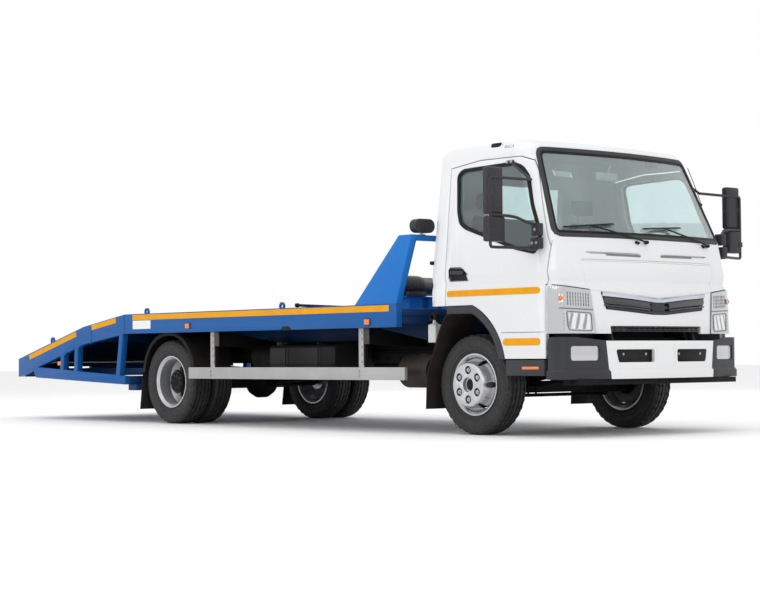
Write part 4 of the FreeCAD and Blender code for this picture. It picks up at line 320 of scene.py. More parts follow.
# Spring clips and leaves: U-bolts hold each leaf pack to its axle, below a clamp plate.
# They are forged and rolled steel, painted with the frame.
front_axle_x, rear_axle_x, axle_z = 2.655, -1.215, 0.382
clips = []
for axle_x, spring_y, low_z, high_z in ((front_axle_x, 0.38, 0.3, 0.475), (rear_axle_x, 0.51, 0.32, 0.525)):
    for y in (-spring_y, spring_y):
        for x in (axle_x - 0.075, axle_x + 0.075):
            for leg_y in (y - 0.043, y + 0.043):
                clips.append(round_bar((x, leg_y, low_z), (x, leg_y, high_z), 0.009, 10))
        clips.append(block((axle_x - 0.1, y - 0.05, high_z - 0.03), (axle_x + 0.1, y + 0.05, high_z - 0.012)))
settled(clips, "spring_clips", chassis_black, "chassis")
leaf_thick, leaf_gap, leaf_half = 0.013, 0.002, 0.034
leaves = []
for axle_x, spring_y, seat_z in ((front_axle_x, 0.38, 0.4), (rear_axle_x, 0.46, 0.442)):
    for y in (-spring_y, spring_y):
        for number in range(3):
            reach, top = 0.42 - 0.1 * number, seat_z - leaf_thick * number
            leaves.append(block((axle_x - reach, y - leaf_half, top - leaf_thick),
                                (axle_x + reach, y + leaf_half, top - leaf_gap)))
settled(leaves, "spring_leaves", chassis_black, "chassis")

# Under-deck equipment on the frame: air tank, valve block and pipes, as on any such chassis.
# The tank is a welded steel cylinder on two straps; the pipes are nylon and steel tube.
tank_y, tank_z = -0.62, 0.6
barrel = round_bar((-0.42, tank_y, tank_z), (0.1, tank_y, tank_z), 0.115, 40)
settled([barrel], "air_tank", chassis_black, "chassis", 0.03, 5, 50)
straps = []
for x in (-0.32, 0.0):
    straps.append(round_bar((x - 0.016, tank_y, tank_z), (x + 0.016, tank_y, tank_z), 0.119, 40))
    straps.append(block((x - 0.03, -0.52, 0.57), (x + 0.03, -0.425, 0.63)))
settled(straps, "air_tank_bands", chassis_black, "chassis")


def bent_tube(points, radius, rounds=4, fine=4):
    """A tube along a smooth line through its control points, made a mesh."""
    line = bpy.data.curves.new("tube", "CURVE")
    line.dimensions = "3D"
    line.bevel_depth = radius
    line.bevel_resolution = rounds
    line.resolution_u = fine
    line.use_fill_caps = True
    run = line.splines.new("NURBS")
    run.points.add(len(points) - 1)
    for spot, point in zip(run.points, points):
        spot.co = (*point, 1)
    run.order_u = 3
    run.use_endpoint_u = True
    only(new_object("tube", line))
    bpy.ops.object.convert(target="MESH")
    return bpy.context.object


pipes = []
for number in range(3):
    y, z = -0.438 - 0.014 * number, 0.66 - 0.022 * number
    pipes.append(bent_tube([(-2.2, y, z), (-1.9, y, z), (-0.6, y, z - 0.01), (0.1, y, z), (0.9, y, z + 0.01),
                            (1.8, y, z), (2.15, y, z - 0.05), (2.2, y, z - 0.14)], 0.006))
settled(pipes, "frame_pipes", chassis_black, "chassis", 0)
valve = [block((-0.56, -0.52, 0.6), (-0.46, -0.43, 0.7)),
         round_bar((-0.51, -0.5, 0.7), (-0.51, -0.5, 0.76), 0.03),
         round_bar((-0.51, -0.56, 0.64), (-0.51, -0.5, 0.64), 0.022)]
settled(valve, "valve_block", chassis_black, "chassis", 0.004)

# Tyres: steel-belted radials. Each is turned from its section, with ribs and grooves round the tread,
# raised bands on the sidewalls, and notches pressed into the shoulders.
rubber_black = new_finish("rubber_black")
driven(rubber_black, "Base Color", (6, 6, 0.6), (0.3, 0.009), (0.75, 0.02))
driven(rubber_black, "Roughness", (40, 4), (0.3, 0.5), (0.7, 0.75))
bumped(rubber_black, noise(rubber_black, 700, 2), 0.15, 0.0006)
tyre_side = [
    (0.07, 0.2226), (0.08, 0.238), (0.0885, 0.254), (0.092, 0.262), (0.0965, 0.264), (0.0985, 0.272),
    (0.0975, 0.28), (0.1025, 0.29), (0.1048, 0.302), (0.104, 0.318), (0.1018, 0.332), (0.1035, 0.335),
    (0.103, 0.341), (0.1, 0.344), (0.0975, 0.352), (0.096, 0.362), (0.09, 0.371), (0.083, 0.377),
    (0.0735, 0.3805), (0.064, 0.3811), (0.0625, 0.372), (0.0545, 0.372), (0.053, 0.3814), (0.025, 0.3816),
    (0.0235, 0.371), (0.0155, 0.371), (0.014, 0.3817)]
tyre_steps = 108
shoulder, shoulder_radius, ribs, rib_radius = (0.076, 0.094), 0.366, ((0.0545, 0.074), (0.026, 0.052)), 0.379
sides = (("right", -1), ("left", 1))


def from_points(spots, faces, edges=()):
    """A new object with this mesh."""
    data = bpy.data.meshes.new("shape")
    data.from_pydata([tuple(spot) for spot in spots], edges, faces)
    return new_object("shape", data)


def spun(outline, centre, steps=72):
    """A ring turned about an axis along Y; the outline's points are (distance along Y, radius)."""
    count = len(outline)
    piece = from_points([(centre[0], centre[1] + y, centre[2] + r) for y, r in outline], [],
                        [(k, (k + 1) % count) for k in range(count)])
    only(piece)
    bpy.ops.object.mode_set(mode="EDIT")
    bpy.ops.mesh.select_all(action="SELECT")
    bpy.ops.mesh.spin(steps=steps, angle=math.tau, center=centre, axis=(0, 1, 0))
    bpy.ops.mesh.select_all(action="SELECT")
    bpy.ops.mesh.remove_doubles(threshold=0.00004)
    bpy.ops.mesh.normals_make_consistent()
    bpy.ops.object.mode_set(mode="OBJECT")
    return piece


def pick_faces(piece, chosen):
    """Go into edit mode with only the faces that pass a test selected."""
    only(piece)
    bpy.ops.object.mode_set(mode="EDIT")
    bpy.ops.mesh.select_mode(type="FACE")
    bpy.ops.mesh.select_all(action="DESELECT")
    bpy.ops.object.mode_set(mode="OBJECT")
    for face in piece.data.polygons:
        face.select = chosen(face)
    bpy.ops.object.mode_set(mode="EDIT")


def road_tyre(name, body, node, centres):
    """One tyre, or a twin pair, shown in its solid's place."""
    rings = []
    for centre in centres:
        ring = spun(tyre_side + [(-y, r) for y, r in reversed(tyre_side)], centre, tyre_steps)

        def notched(face, centre=centre):
            away = Vector((face.center.x - centre[0], 0, face.center.z - centre[2]))
            turn = math.atan2(away.z, away.x) % math.tau
            aside = abs(face.center.y - centre[1])
            step = int(turn / (math.tau / tyre_steps))
            if shoulder[0] < aside < shoulder[1] and away.length > shoulder_radius:
                return step % 3 != 0
            return any(low < aside < high for low, high in ribs) and away.length > rib_radius and step % 3 == 1

        pick_faces(ring, notched)
        bpy.ops.mesh.inset(thickness=0.0012, depth=-0.0045, use_individual=False)
        bpy.ops.object.mode_set(mode="OBJECT")
        rings.append(ring)
    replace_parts(settled(rings, name, rubber_black, body, 0, angle=32), node)


front_y, rear_y, twin_outer_y, twin_inner_y = 0.835, 0.83, 0.95, 0.71
for side, sign in sides:
    road_tyre("tyre_front_" + side + "_finished", "wheel_front_" + side, "tyre_front_" + side,
              [(front_axle_x, sign * front_y, axle_z)])
    road_tyre("tyres_rear_" + side + "_finished", "wheels_rear_" + side, "tyres_rear_" + side,
              [(rear_axle_x, sign * y, axle_z) for y in (twin_outer_y, twin_inner_y)])


# Wheel discs: pressed steel, sprayed silver. The front ones stand out and the rear ones are dished in,
# with hand holes cut through them. Nuts hold them to the hubs.
def ring_places(x, z, radius, count, first=0):
    """Places (x, z) evenly spaced on a circle, the first at an angle in degrees."""
    turns = [math.radians(360 / count * number + first) for number in range(count)]
    return [(x + radius * math.cos(turn), z + radius * math.sin(turn)) for turn in turns]


rim_silver = sprayed("rim_silver", (0.56, 0.57, 0.59), (0.47, 0.48, 0.5), 0.3, metal=0.7, broad=5, coat=0.1)
hand_hole, hand_hole_ring = 0.026, 0.168
for side, sign in sides:
    dressed("rim_front_" + side, rim_silver)
    rear_disc = dressed("rims_rear_" + side, rim_silver, 0)
    cutter = joined([round_bar((x, sign * 0.72, z), (x, sign * 0.94, z), hand_hole, 20)
                     for x, z in ring_places(rear_axle_x, axle_z, hand_hole_ring, 6, 30)])
    opened = rear_disc.modifiers.new("hand_holes", "BOOLEAN")
    opened.operation = "DIFFERENCE"
    opened.object = cutter
    apply_all(rear_disc)
    bpy.data.objects.remove(cutter)
    bpy.ops.object.shade_smooth_by_angle(angle=math.radians(30))
steel_dark = sprayed("steel_dark", (0.05, 0.05, 0.05), (0.09, 0.075, 0.06), 0.5, metal=0.6, broad=30)
hub_black = sprayed("hub_black", (0.009, 0.009, 0.01), (0.018, 0.018, 0.018), 0.4, broad=12)
flange_line = [(0.118, 0.0722), (0.118, 0.15), (0.13, 0.15), (0.13, 0.0722)]
drum_line = [(-0.03, 0.1), (-0.03, 0.175), (0.03, 0.178), (0.09, 0.165), (0.105, 0.15), (0.105, 0.1)]
cap_line = [(0.119, 0.001), (0.138, 0.001), (0.138, 0.02), (0.136, 0.03), (0.13, 0.046), (0.122, 0.053),
            (0.119, 0.053)]
hub_line = [(0.0145, 0.0955), (0.0145, 0.118), (0.03, 0.118), (0.036, 0.1), (0.135, 0.098), (0.15, 0.09),
            (0.1555, 0.07), (0.1555, 0.0455), (0.1505, 0.0455), (0.1505, 0.0955)]
front_nut_ring, rear_nut_ring, cap_bolt_ring = 0.111, 0.138, 0.073
for side, sign in sides:
    front_body, rear_body = "wheel_front_" + side, "wheels_rear_" + side
    hub_y, rear_hub_y, outwards = sign * front_y, sign * rear_y, (0, sign, 0)
    for name, line, steps, finish, body, axle_x, y, edge in (
            ("hub_flange_front_", flange_line, 48, steel_dark, front_body, front_axle_x, hub_y, 0.002),
            ("brake_drum_front_", drum_line, 56, steel_dark, front_body, front_axle_x, hub_y, 0.002),
            ("grease_cap_front_", cap_line, 40, hub_black, front_body, front_axle_x, hub_y, 0.001),
            ("hub_rear_", hub_line, 56, hub_black, rear_body, rear_axle_x, rear_hub_y, 0.0015)):
        ring = spun([(sign * along, radius) for along, radius in line], (axle_x, y, axle_z), steps)
        settled([ring], name + side, finish, body, edge)
    nut_y, stud_y = hub_y + sign * 0.13, hub_y + sign * 0.164
    nut_places = ring_places(front_axle_x, axle_z, front_nut_ring, 6, 30)
    bolts("wheel_nuts_front_" + side, [((x, nut_y, z), outwards) for x, z in nut_places], zinc, front_body,
          0.036, 0.026)
    studs = [round_bar((x, nut_y, z), (x, stud_y, z), 0.0085, 12, 0.0075) for x, z in nut_places]
    settled(studs, "wheel_studs_front_" + side, zinc, front_body, 0.001, 1)
    stem = round_bar((front_axle_x + 0.17, hub_y + sign * 0.05, axle_z - 0.1),
                     (front_axle_x + 0.155, hub_y + sign * 0.135, axle_z - 0.092), 0.005, 10, 0.004)
    settled([stem], "valve_front_" + side, zinc, front_body, 0)
    rear_nuts = [((x, rear_hub_y + sign * 0.015, z), outwards)
                 for x, z in ring_places(rear_axle_x, axle_z, rear_nut_ring, 6)]
    bolts("wheel_nuts_rear_" + side, rear_nuts, hub_black, rear_body, 0.038, 0.034)
    cap_bolts = [((x, rear_hub_y + sign * 0.1535, z), outwards)
                 for x, z in ring_places(rear_axle_x, axle_z, cap_bolt_ring, 8, 10)]
    bolts("hub_bolts_rear_" + side, cap_bolts, hub_black, rear_body, 0.018, 0.01)


# Car-carrying deck: folded and welded steel side beams with a chequered floor between them.
# It is sprayed mid blue and scuffed where cars roll over it; its frame, cross beams and downward faces get a
# darker blue that is painted shade.
deck_blue = sprayed("deck_blue", (0.004, 0.09, 0.31), (0.006, 0.096, 0.325), 0.4, bump=0.05, shine=0.25)
# The darker blue is painted shade for the deck's underside, frame and cross beams.
painted_shade_blue = sprayed("painted_shade_blue", (0.003, 0.03, 0.11), (0.005, 0.036, 0.125), 0.5, bump=0.08)
for node, finish in (("deck_sides", deck_blue), ("lashing_rings", deck_blue), ("deck_frame", painted_shade_blue),
                     ("deck_cross_beams", painted_shade_blue)):
    dressed(node, finish)
deck_worn = new_finish("deck_worn")
lengthwise = fed(deck_worn, "Mapping", None, {"Scale": (0.6, 5.0, 5.0)}).outputs["Vector"]
scuffs = noise(deck_worn, 3.0, 8, 0.65, lengthwise)
driven(deck_worn, "Base Color", scuffs,
       (0.35, (0.012, 0.08, 0.3)), (0.6, (0.03, 0.1, 0.28)), (0.8, (0.12, 0.13, 0.15)))
driven(deck_worn, "Roughness", scuffs, (0.3, 0.35), (0.8, 0.65))
driven(deck_worn, "Metallic", scuffs, (0.4, 0.0), (0.8, 0.3))
tread = fed(deck_worn, "TexVoronoi", None, {"Scale": 30, "Randomness": 0.0}).outputs["Distance"]
bumped(deck_worn, ramp(deck_worn, tread, (0.15, 1.0), (0.4, 0.0)), 0.5, 0.003)


def also_finished(piece, finish, chosen):
    """Give a second finish to the faces that pass a test."""
    piece.data.materials.append(finish)
    for face in piece.data.polygons:
        face.material_index = int(chosen(face))


# Faces of the floor and tray that point down take the darker blue of painted shade.
for node in ("deck_plates", "ramp_tray"):
    also_finished(dressed(node, deck_worn, 0), painted_shade_blue, lambda face: face.normal.z < -0.3)


def prism(low, high):
    """A closed slab between two outlines that have the same count of points."""
    count = len(low)
    faces = [list(range(count))[::-1], list(range(count, 2 * count))]
    faces += [[k, (k + 1) % count, count + (k + 1) % count, count + k] for k in range(count)]
    return from_points([*low, *high], faces)


def side_tape(start, end, face_y, width, proud, thick, round_ends=False):
    """A thin tape between two (x, z) places on a face of the right side."""
    start, end, half = Vector(start), Vector(end), width / 2
    run = (end - start).normalized()
    across = Vector((-run.y, run.x))
    outline = [start + across * half, start - across * half, end - across * half, end + across * half]
    if round_ends:
        outline = []
        for middle, first in ((start + run * half, 0.5), (end - run * half, -0.5)):
            for step in range(9):
                turn = math.pi * (first + step / 8)
                outline.append(middle + run * half * math.cos(turn) + across * half * math.sin(turn))
    return prism([(spot.x, face_y - proud + thick, spot.y) for spot in outline],
                 [(spot.x, face_y - proud, spot.y) for spot in outline])


to_left = Matrix.Diagonal((1, -1, 1, 1))


def on_left(piece, body):
    """The same piece on the truck's left side."""
    name = piece.name
    other = copied(piece, to_left)
    other.name = name.replace("_right", "_left") if "_right" in name else name + "_left"
    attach(other, body.replace("_right", "_left"))
    return other


def mirrored(pieces, name, finish, body, edge=0.002, segments=2, angle=35):
    """Settle pieces on the right side and repeat them on the left; both are handed back."""
    piece = settled(pieces, name, finish, body, edge, segments, angle)
    return piece, on_left(piece, body)


beam_y = -1.15
tape_orange = sprayed("tape_orange", (0.8, 0.36, 0.002), (0.72, 0.3, 0.002), 0.5, broad=9, bump=0.1,
                      shine=0.15)
tapes = [side_tape(start, end, beam_y, width, 0.0012, 0.004) for start, end, width in (
    ((-1.68, 0.9775), (1.932, 0.9775), 0.049), ((-2.39, 0.896), (-1.965, 0.957), 0.048),
    ((-3.56, 0.615), (-2.671, 0.8375), 0.048))]
mirrored(tapes, "deck_tape_right", tape_orange, "chassis", 0)
label_white = sprayed("label_white", (0.82, 0.82, 0.8), (0.76, 0.76, 0.74), 0.4, broad=8, bump=0.1)
label = side_tape((-1.677, 0.909), (-1.383, 0.909), beam_y, 0.078, 0.001, 0.003)
settled([label], "deck_label", label_white, "chassis", 0)

# Weld seams of the deck: beads where the folded beams join and where their ribs end, laid by hand and
# painted over. A loose black bar lies on the floor, and plastic plugs close an opening in each beam.
bead_radius = 0.0035
beads = []
for x, low_z, high_z in ((-2.4, 0.735, 0.905), (-1.823, 0.842, 1.0)):
    beads.append(bent_tube([(x, beam_y, low_z), (x + 0.001, beam_y - 0.001, (low_z + high_z) / 2),
                            (x, beam_y, high_z)], bead_radius))
for x, z in ((-1.842, 0.829), (-2.637, 0.71), (-2.896, 0.64)):
    beads.append(bent_tube([(x - 0.032, beam_y, z - 0.004), (x, beam_y - 0.001, z - 0.002),
                            (x + 0.032, beam_y, z + 0.004)], bead_radius))
mirrored(beads, "deck_welds", deck_blue, "chassis", 0)
loose_bar = [bent_tube([(0.54, -0.95, 1.038), (0.85, -0.93, 1.022), (1.2, -0.9, 1.003)], 0.012),
             round_bar((0.52, -0.951, 1.039), (0.548, -0.95, 1.038), 0.018, 16)]
settled(loose_bar, "deck_loose_bar", hub_black, "chassis", 0)
plug = block((0.57, -1.1505, 0.823), (0.68, -1.08, 0.868))
mirrored([plug], "beam_plug_right", hub_black, "chassis", 0.012, 3)

# Headboard: a welded frame of steel plate, sprayed a brighter blue than the deck behind it.
# The winch stands behind it on four posts, with wire rope wound on its drum.
headboard_blue = sprayed("headboard_blue", (0.006, 0.15, 0.5), (0.008, 0.16, 0.53), 0.4, bump=0.05,
                         shine=0.25)
winch_black = sprayed("winch_black", (0.016, 0.016, 0.018), (0.035, 0.035, 0.035), 0.36, broad=10)
drum_metal = sprayed("drum_metal", (0.18, 0.18, 0.18), (0.1, 0.1, 0.1), 0.4, metal=0.9)
dressed("headboard", headboard_blue, 0.004)
dressed("winch_housing", winch_black)
dressed("winch_drum", drum_metal, 0.001)
winch_x, winch_z = 1.225, 1.19
rope_start, rope_step, rope_turns, rope_low = -0.178, 0.0162, 22, 0.0555
rope_line = [(rope_start, rope_low)]
for number in range(rope_turns):
    for step in range(1, 8):
        sweep = math.pi * step / 8
        rope_line.append((rope_start + rope_step * (number + 0.5 - 0.5 * math.cos(sweep)),
                          0.068 + 0.0072 * math.sin(sweep)))
rope_line.append((rope_start + rope_step * rope_turns, rope_low))
rope = spun(rope_line, (winch_x, 0, winch_z), 40)
settled([rope], "winch_rope", drum_metal, "winch_drum", 0, angle=60)
cooling_ribs, winch_bolts, winch_end = [], [], 0.433
for sign, rib_size, bolt_reach in ((-1, 0.0895, 0.07), (1, 0.0765, 0.06)):
    for y in (sign * (0.24 + 0.04 * number) for number in range(5)):
        cooling_ribs.append(round_bar((winch_x, y - 0.006, winch_z), (winch_x, y + 0.006, winch_z),
                                      rib_size, 40))
    winch_bolts += [((x, sign * winch_end, z), (0, sign, 0))
                    for x, z in ring_places(winch_x, winch_z, bolt_reach, 6)]
settled(cooling_ribs, "winch_ribs", winch_black, "chassis", 0.001)
bolts("winch_bolts", winch_bolts, zinc, "chassis", 0.018, 0.009)


# Work lamp: a rounded oval housing moulded in black plastic.
# It stands on a short steel stalk over the headboard.
def melted(pieces, voxel, rounds, strength):
    """Shapes made into one soft-edged body, as a moulding is."""
    body = joined(pieces)
    even = body.modifiers.new("even", "REMESH")
    even.mode = "VOXEL"
    even.voxel_size = voxel
    soft = body.modifiers.new("soft", "SMOOTH")
    soft.iterations = rounds
    soft.factor = strength
    apply_all(body)
    return body


lamp_back, lamp_face, lamp_y, lamp_z, lamp_half, lamp_radius = 2.137, 2.215, -1.012, 1.612, 0.049, 0.055
housing = [round_bar((lamp_back, y, lamp_z), (lamp_face, y, lamp_z), lamp_radius, 40)
           for y in (lamp_y - lamp_half, lamp_y + lamp_half)]
housing.append(block((lamp_back, lamp_y - lamp_half, lamp_z - lamp_radius),
                     (lamp_face, lamp_y + lamp_half, lamp_z + lamp_radius)))
housing = melted(housing, 0.004, 12, 0.6)
settled([housing], "work_lamp_housing", winch_black, "chassis", 0, angle=60)
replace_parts(housing, "work_lamp")
foot = [round_bar((2.17, lamp_y, 1.54), (2.17, lamp_y, 1.572), 0.012, 20),
        block((2.15, -1.04, 1.5425), (2.186, -0.984, 1.548))]
settled(foot, "work_lamp_foot", zinc, "chassis", 0.001)

# Loading ramps: two long steel channels with studs for grip, which slide into the deck's tail.
# They are sprayed blue, and worn where wheels and the tray rub them.
ramp_blue = sprayed("ramp_blue", (0.012, 0.085, 0.33), (0.04, 0.1, 0.28), 0.4, coat=0.2, bump=0.2)
dressed("ramp_right", ramp_blue)
dressed("ramp_left", ramp_blue)

# Side guards: anodised aluminium rails with round-ended profile, bolted to channels under the deck.
# The channels are painted black and hang on dark steel brackets.
guard_metal = sprayed("guard_metal", (0.44, 0.44, 0.44), (0.37, 0.37, 0.37), 0.42, metal=0.6, broad=4)
channel_y, rail_top = 1.104, 0.52
also_finished(dressed("side_guards", guard_metal, 0.006, 3), chassis_black,
              lambda face: abs(face.center.y) < channel_y and face.center.z > rail_top)
guard_lines = [block((-0.79, -1.1412, z - 0.0016), (2.096, -1.1385, z + 0.0016))
               for z in (0.428, 0.449, 0.481, 0.502)]
mirrored(guard_lines, "guard_ribs", guard_metal, "chassis", 0)
guard_fixings, guard_plates = [], []
for x in (-0.467, 1.553):
    guard_fixings += [((x, -1.1405, z), (0, -1, 0)) for z in (0.448, 0.482)]
    guard_fixings += [((x, -1.1105, z), (0, -1, 0)) for z in (0.56, 0.62, 0.68, 0.74, 0.79)]
    guard_plates += [block((x + 0.04, -1.116, 0.7), (x + 0.1, -1.106, 0.828)),
                     block((x + 0.028, -1.114, 0.53), (x + 0.036, -1.1, 0.828))]
fixings = bolts("guard_bolts", guard_fixings, zinc, "chassis", 0.018, 0.008)
on_left(fixings, "chassis")
mirrored(guard_plates, "guard_brackets", steel_dark, "chassis")

# Mudguards: moulded black plastic arches, bolted over the rear twins and behind the front wheels.
# Both are dulled by road dirt.
mud_black = sprayed("mud_black", (0.012, 0.011, 0.011), (0.03, 0.024, 0.021), 0.6, broad=5, fine=300,
                    bump=0.3)
dressed("rear_mudguards", mud_black, 0.004)
dressed("front_mudguards", mud_black, 0.004)

# Fuel tank: a folded aluminium box with welded ends, painted black, held by two rubber-lined straps.
# The muffler is a steel drum with a tailpipe; the battery box has a moulded lid.
tank_black = sprayed("tank_black", (0.008, 0.008, 0.009), (0.015, 0.014, 0.014), 0.38)
muffler_steel = sprayed("muffler_steel", (0.022, 0.02, 0.019), (0.04, 0.031, 0.026), 0.55, metal=0.4,
                        broad=9)
dressed("fuel_tank", tank_black, 0.004)
dressed("muffler", muffler_steel, 0.004)
dressed("battery_box", tank_black, 0.006)
filler_x, filler_y = 0.3, -0.93
fittings = [round_bar((filler_x, filler_y, 0.7), (filler_x, filler_y, 0.728), 0.048, 32),
            round_bar((filler_x, filler_y, 0.728), (filler_x, filler_y, 0.742), 0.038, 32, 0.03)]
for x in (0.435, 0.872):
    fittings += [block((x - 0.003, -1.0075, 0.508), (x + 0.003, -1.0035, 0.701)),
                 round_bar((x, -1.004, 0.716), (x, -0.8, 0.716), 0.007, 12)]
settled(fittings, "tank_fittings", hub_black, "chassis", 0.0015)

# Coolant bottle: blown polyethylene in two lobes, white and half clear, on a folded steel bracket.
# A black rubber bellows of the air intake hangs over it.
bottle_white = new_finish("bottle_white", {"Roughness": 0.35, "Subsurface Weight": 0.3,
                                           "Subsurface Radius": (0.02, 0.02, 0.02)})
driven(bottle_white, "Base Color", (9, 4), (0.3, (0.6, 0.62, 0.58)), (0.7, (0.5, 0.53, 0.48)))
bottle_y = -0.915
lobes = [round_bar((2.198, bottle_y, 0.712), (2.198, bottle_y, 0.852), 0.03, 28),
         round_bar((2.248, bottle_y, 0.705), (2.248, bottle_y, 0.846), 0.03, 28),
         block((2.18, -0.966, 0.704), (2.269, -0.866, 0.846)),
         round_bar((2.215, bottle_y, 0.846), (2.215, bottle_y, 0.866), 0.018, 24)]
shell = melted(lobes, 0.005, 14, 0.7)
settled([shell], "bottle_shell", bottle_white, "chassis", 0, angle=60)
bracket, bracket_end = dressed("coolant_bottle", tank_black, 0), -0.861
pick_faces(bracket, lambda face: face.center.y < bracket_end)
bpy.ops.mesh.delete(type="FACE")
bpy.ops.object.mode_set(mode="OBJECT")
bellows_line = [(0.0, 0.02)]
for number in range(7):
    bellows_line += [(0.004 + 0.008 * number, 0.034), (0.008 + 0.008 * number, 0.027)]
bellows = spun(bellows_line + [(0.06, 0.02)], (2.215, -0.955, 0.905), 32)
settled([bellows], "intake_bellows", hub_black, "chassis", 0)
bolts("bottle_bolt", [((2.262, -0.9705, 0.862), (0, -1, 0))], zinc, "chassis", 0.024, 0.008)


# Marker lamps: amber lenses along the sides and red ones at the tail, each moulded with fine prisms.
# Those on the side beams sit on black rubber bases.
def worked_out(finish, operation, source, other=None):
    """The result of a sum on a source, with a plain number or with a second source."""
    node = fed(finish, "Math", source)
    node.operation = operation
    if isinstance(other, (int, float)):
        node.inputs[1].default_value = other
    elif other is not None:
        finish.node_tree.links.new(other, node.inputs[1])
    return node.outputs[0]


marker_orange, tail_x = new_finish("marker_orange", {"Roughness": 0.15, "Coat Weight": 0.8}), -3.0
at_tail = worked_out(marker_orange, "LESS_THAN", fed(marker_orange, "SeparateXYZ").outputs["X"], tail_x)
driven(marker_orange, "Base Color", at_tail, (0.0, (0.8, 0.17, 0.005)), (1.0, (0.45, 0.008, 0.005)))
bumped(marker_orange, fed(marker_orange, "TexWave", None, {"Scale": 60}).outputs["Fac"], 0.3, 0.001)
dressed("marker_lamps", marker_orange, 0.004, 3)
bases = [block((x - 0.036, -1.156, z - 0.026), (x + 0.036, -1.146, z + 0.026))
         for x, z in ((-0.786, 0.884), (1.677, 0.874))]
mirrored(bases, "marker_bases", hub_black, "chassis", 0.003)

# Cab: welded steel pressings sprayed white, with doors hung at the front and a roof that slopes to the
# screen. The bumper ends, arches and steps are moulded in dark grey plastic.
cab_white = new_finish("cab_white", {"Coat Weight": 0.6, "Coat Roughness": 0.05})
driven(cab_white, "Base Color", (1.4, 5, 0.6), (0.3, (0.74, 0.75, 0.755)), (0.75, (0.72, 0.73, 0.74)))
driven(cab_white, "Roughness", (10, 5), (0.3, 0.24), (0.75, 0.27))
bumped(cab_white, noise(cab_white, 150, 2), 0.01, 0.0003)
for node in ("cab_shell", "door_right", "door_left", "front_panel", "hood_panel", "bumper_centre"):
    dressed(node, cab_white)
floor_black = sprayed("floor_black", (0.014, 0.014, 0.015), (0.03, 0.03, 0.03), 0.6, bump=0.2)
dressed("cab_floor", floor_black, 0.002)
trim_grey = sprayed("trim_grey", (0.026, 0.027, 0.032), (0.036, 0.037, 0.042), 0.45, fine=900, bump=0.15)
for node in ("bumper_ends", "arch_trims", "step_panels"):
    dressed(node, trim_grey, 0.005, 3)


# Door seals and tape: black rubber round each window, orange tape with round ends across the door,
# and a pressed line low on the skin, drawn as a grey band of painted shade. A black handle sits in its cup
# behind the window.
skin_rows = [(0.577, 3.714, 1.042), (1.095, 3.688, 1.042), (1.145, 3.664, 1.029), (1.205, 3.674, 1.041),
             (1.472, 3.632, 1.01), (2.138, 3.328, 0.935)]
front_round, corner_round = 4.0, 0.15


def skin_at(z):
    """The cab's section at a height: centre of its front curve, centre of its corner, half width."""
    front_x, half = skin_rows[-1][1:]
    for low, high in zip(skin_rows, skin_rows[1:]):
        if z <= high[0]:
            share = (z - low[0]) / (high[0] - low[0])
            front_x, half = low[1] + share * (high[1] - low[1]), low[2] + share * (high[2] - low[2])
            break
    middle_x, corner_y = front_x - front_round, half - corner_round
    corner_x = middle_x + math.sqrt((front_round - corner_round) ** 2 - corner_y ** 2)
    return middle_x, corner_x, corner_y, half


def on_front(y, z, proud=0.0):
    """A place on the cab's curved front, pushed out by a distance."""
    middle_x, corner_x, corner_y, half = skin_at(z)
    if abs(y) <= front_round * math.sin(math.atan2(corner_y, corner_x - middle_x)):
        x = middle_x + math.sqrt(front_round ** 2 - y * y)
    else:
        x = corner_x + math.sqrt(max(0.0, corner_round ** 2 - (abs(y) - corner_y) ** 2))
    return Vector((x + proud, y, z))


def on_side(x, z, proud=0.0):
    """A place on the cab's right side, pushed out by a distance."""
    middle_x, corner_x, corner_y, reach = skin_at(z)
    if x > corner_x:
        reach = corner_y + math.sqrt(max(0.0, corner_round ** 2 - (x - corner_x) ** 2))
    return Vector((x, -reach - proud, z))


def filled(points, step, closed):
    """The line with points added so that none lie further apart than a step."""
    line = []
    for one, two in zip(points, points[1:] + points[:1] if closed else points[1:]):
        count = max(1, int(math.dist(one, two) / step))
        line += [tuple(a + (b - a) * k / count for a, b in zip(one, two)) for k in range(count)]
    return line if closed else line + [tuple(points[-1])]


def rounded_corners(points, reach, steps=5):
    """A closed outline with its corners cut round."""
    line = []
    for number, point in enumerate(points):
        here, before = Vector(point), Vector(points[number - 1])
        after = Vector(points[(number + 1) % len(points)])
        start, end = (here + (there - here).normalized() * min(reach, (there - here).length * 0.45)
                      for there in (before, after))
        for step in range(steps + 1):
            share = step / steps
            line.append(tuple(start * (1 - share) ** 2 + here * 2 * share * (1 - share) + end * share ** 2))
    return line


def patch(outline, low, high, place_at=on_front):
    """A flat patch over the cab's skin with this outline."""
    return prism([place_at(*spot, low) for spot in outline], [place_at(*spot, high) for spot in outline])


def band(points, width, low, high, closed=False, crown=0.0, round_ends=False, place_at=on_front):
    """A band that follows a line over the cab's skin, from a depth below it to a height above."""
    line = filled([tuple(point) for point in points], 0.03, closed)
    count, half = len(line), width / 2
    rows = []
    for number, here in enumerate(line):
        before = line[number - 1] if closed or number else here
        after = line[(number + 1) % count] if closed or number < count - 1 else here
        run = (Vector(after) - Vector(before)).normalized()
        side = Vector((-run.y, run.x)) * half
        one, two = Vector(here) + side, Vector(here) - side
        row = [place_at(*one, low), place_at(*one, high - crown)]
        if crown:
            row.append(place_at(*here, high))
        rows.append(row + [place_at(*two, high - crown), place_at(*two, low)])
    wide = len(rows[0])
    faces = []
    for number in range(count if closed else count - 1):
        near, far = number * wide, (number + 1) % count * wide
        faces += [[near + k, far + k, far + (k + 1) % wide, near + (k + 1) % wide] for k in range(wide)]
    if not closed:
        faces += [list(range(wide)), list(range((count - 1) * wide, count * wide))[::-1]]
    pieces = [from_points([spot for row in rows for spot in row], faces)]
    if round_ends:
        for end in (line[0], line[-1]):
            pieces.append(patch(ring_places(*end, half, 20), low, high, place_at))
    return joined(pieces)


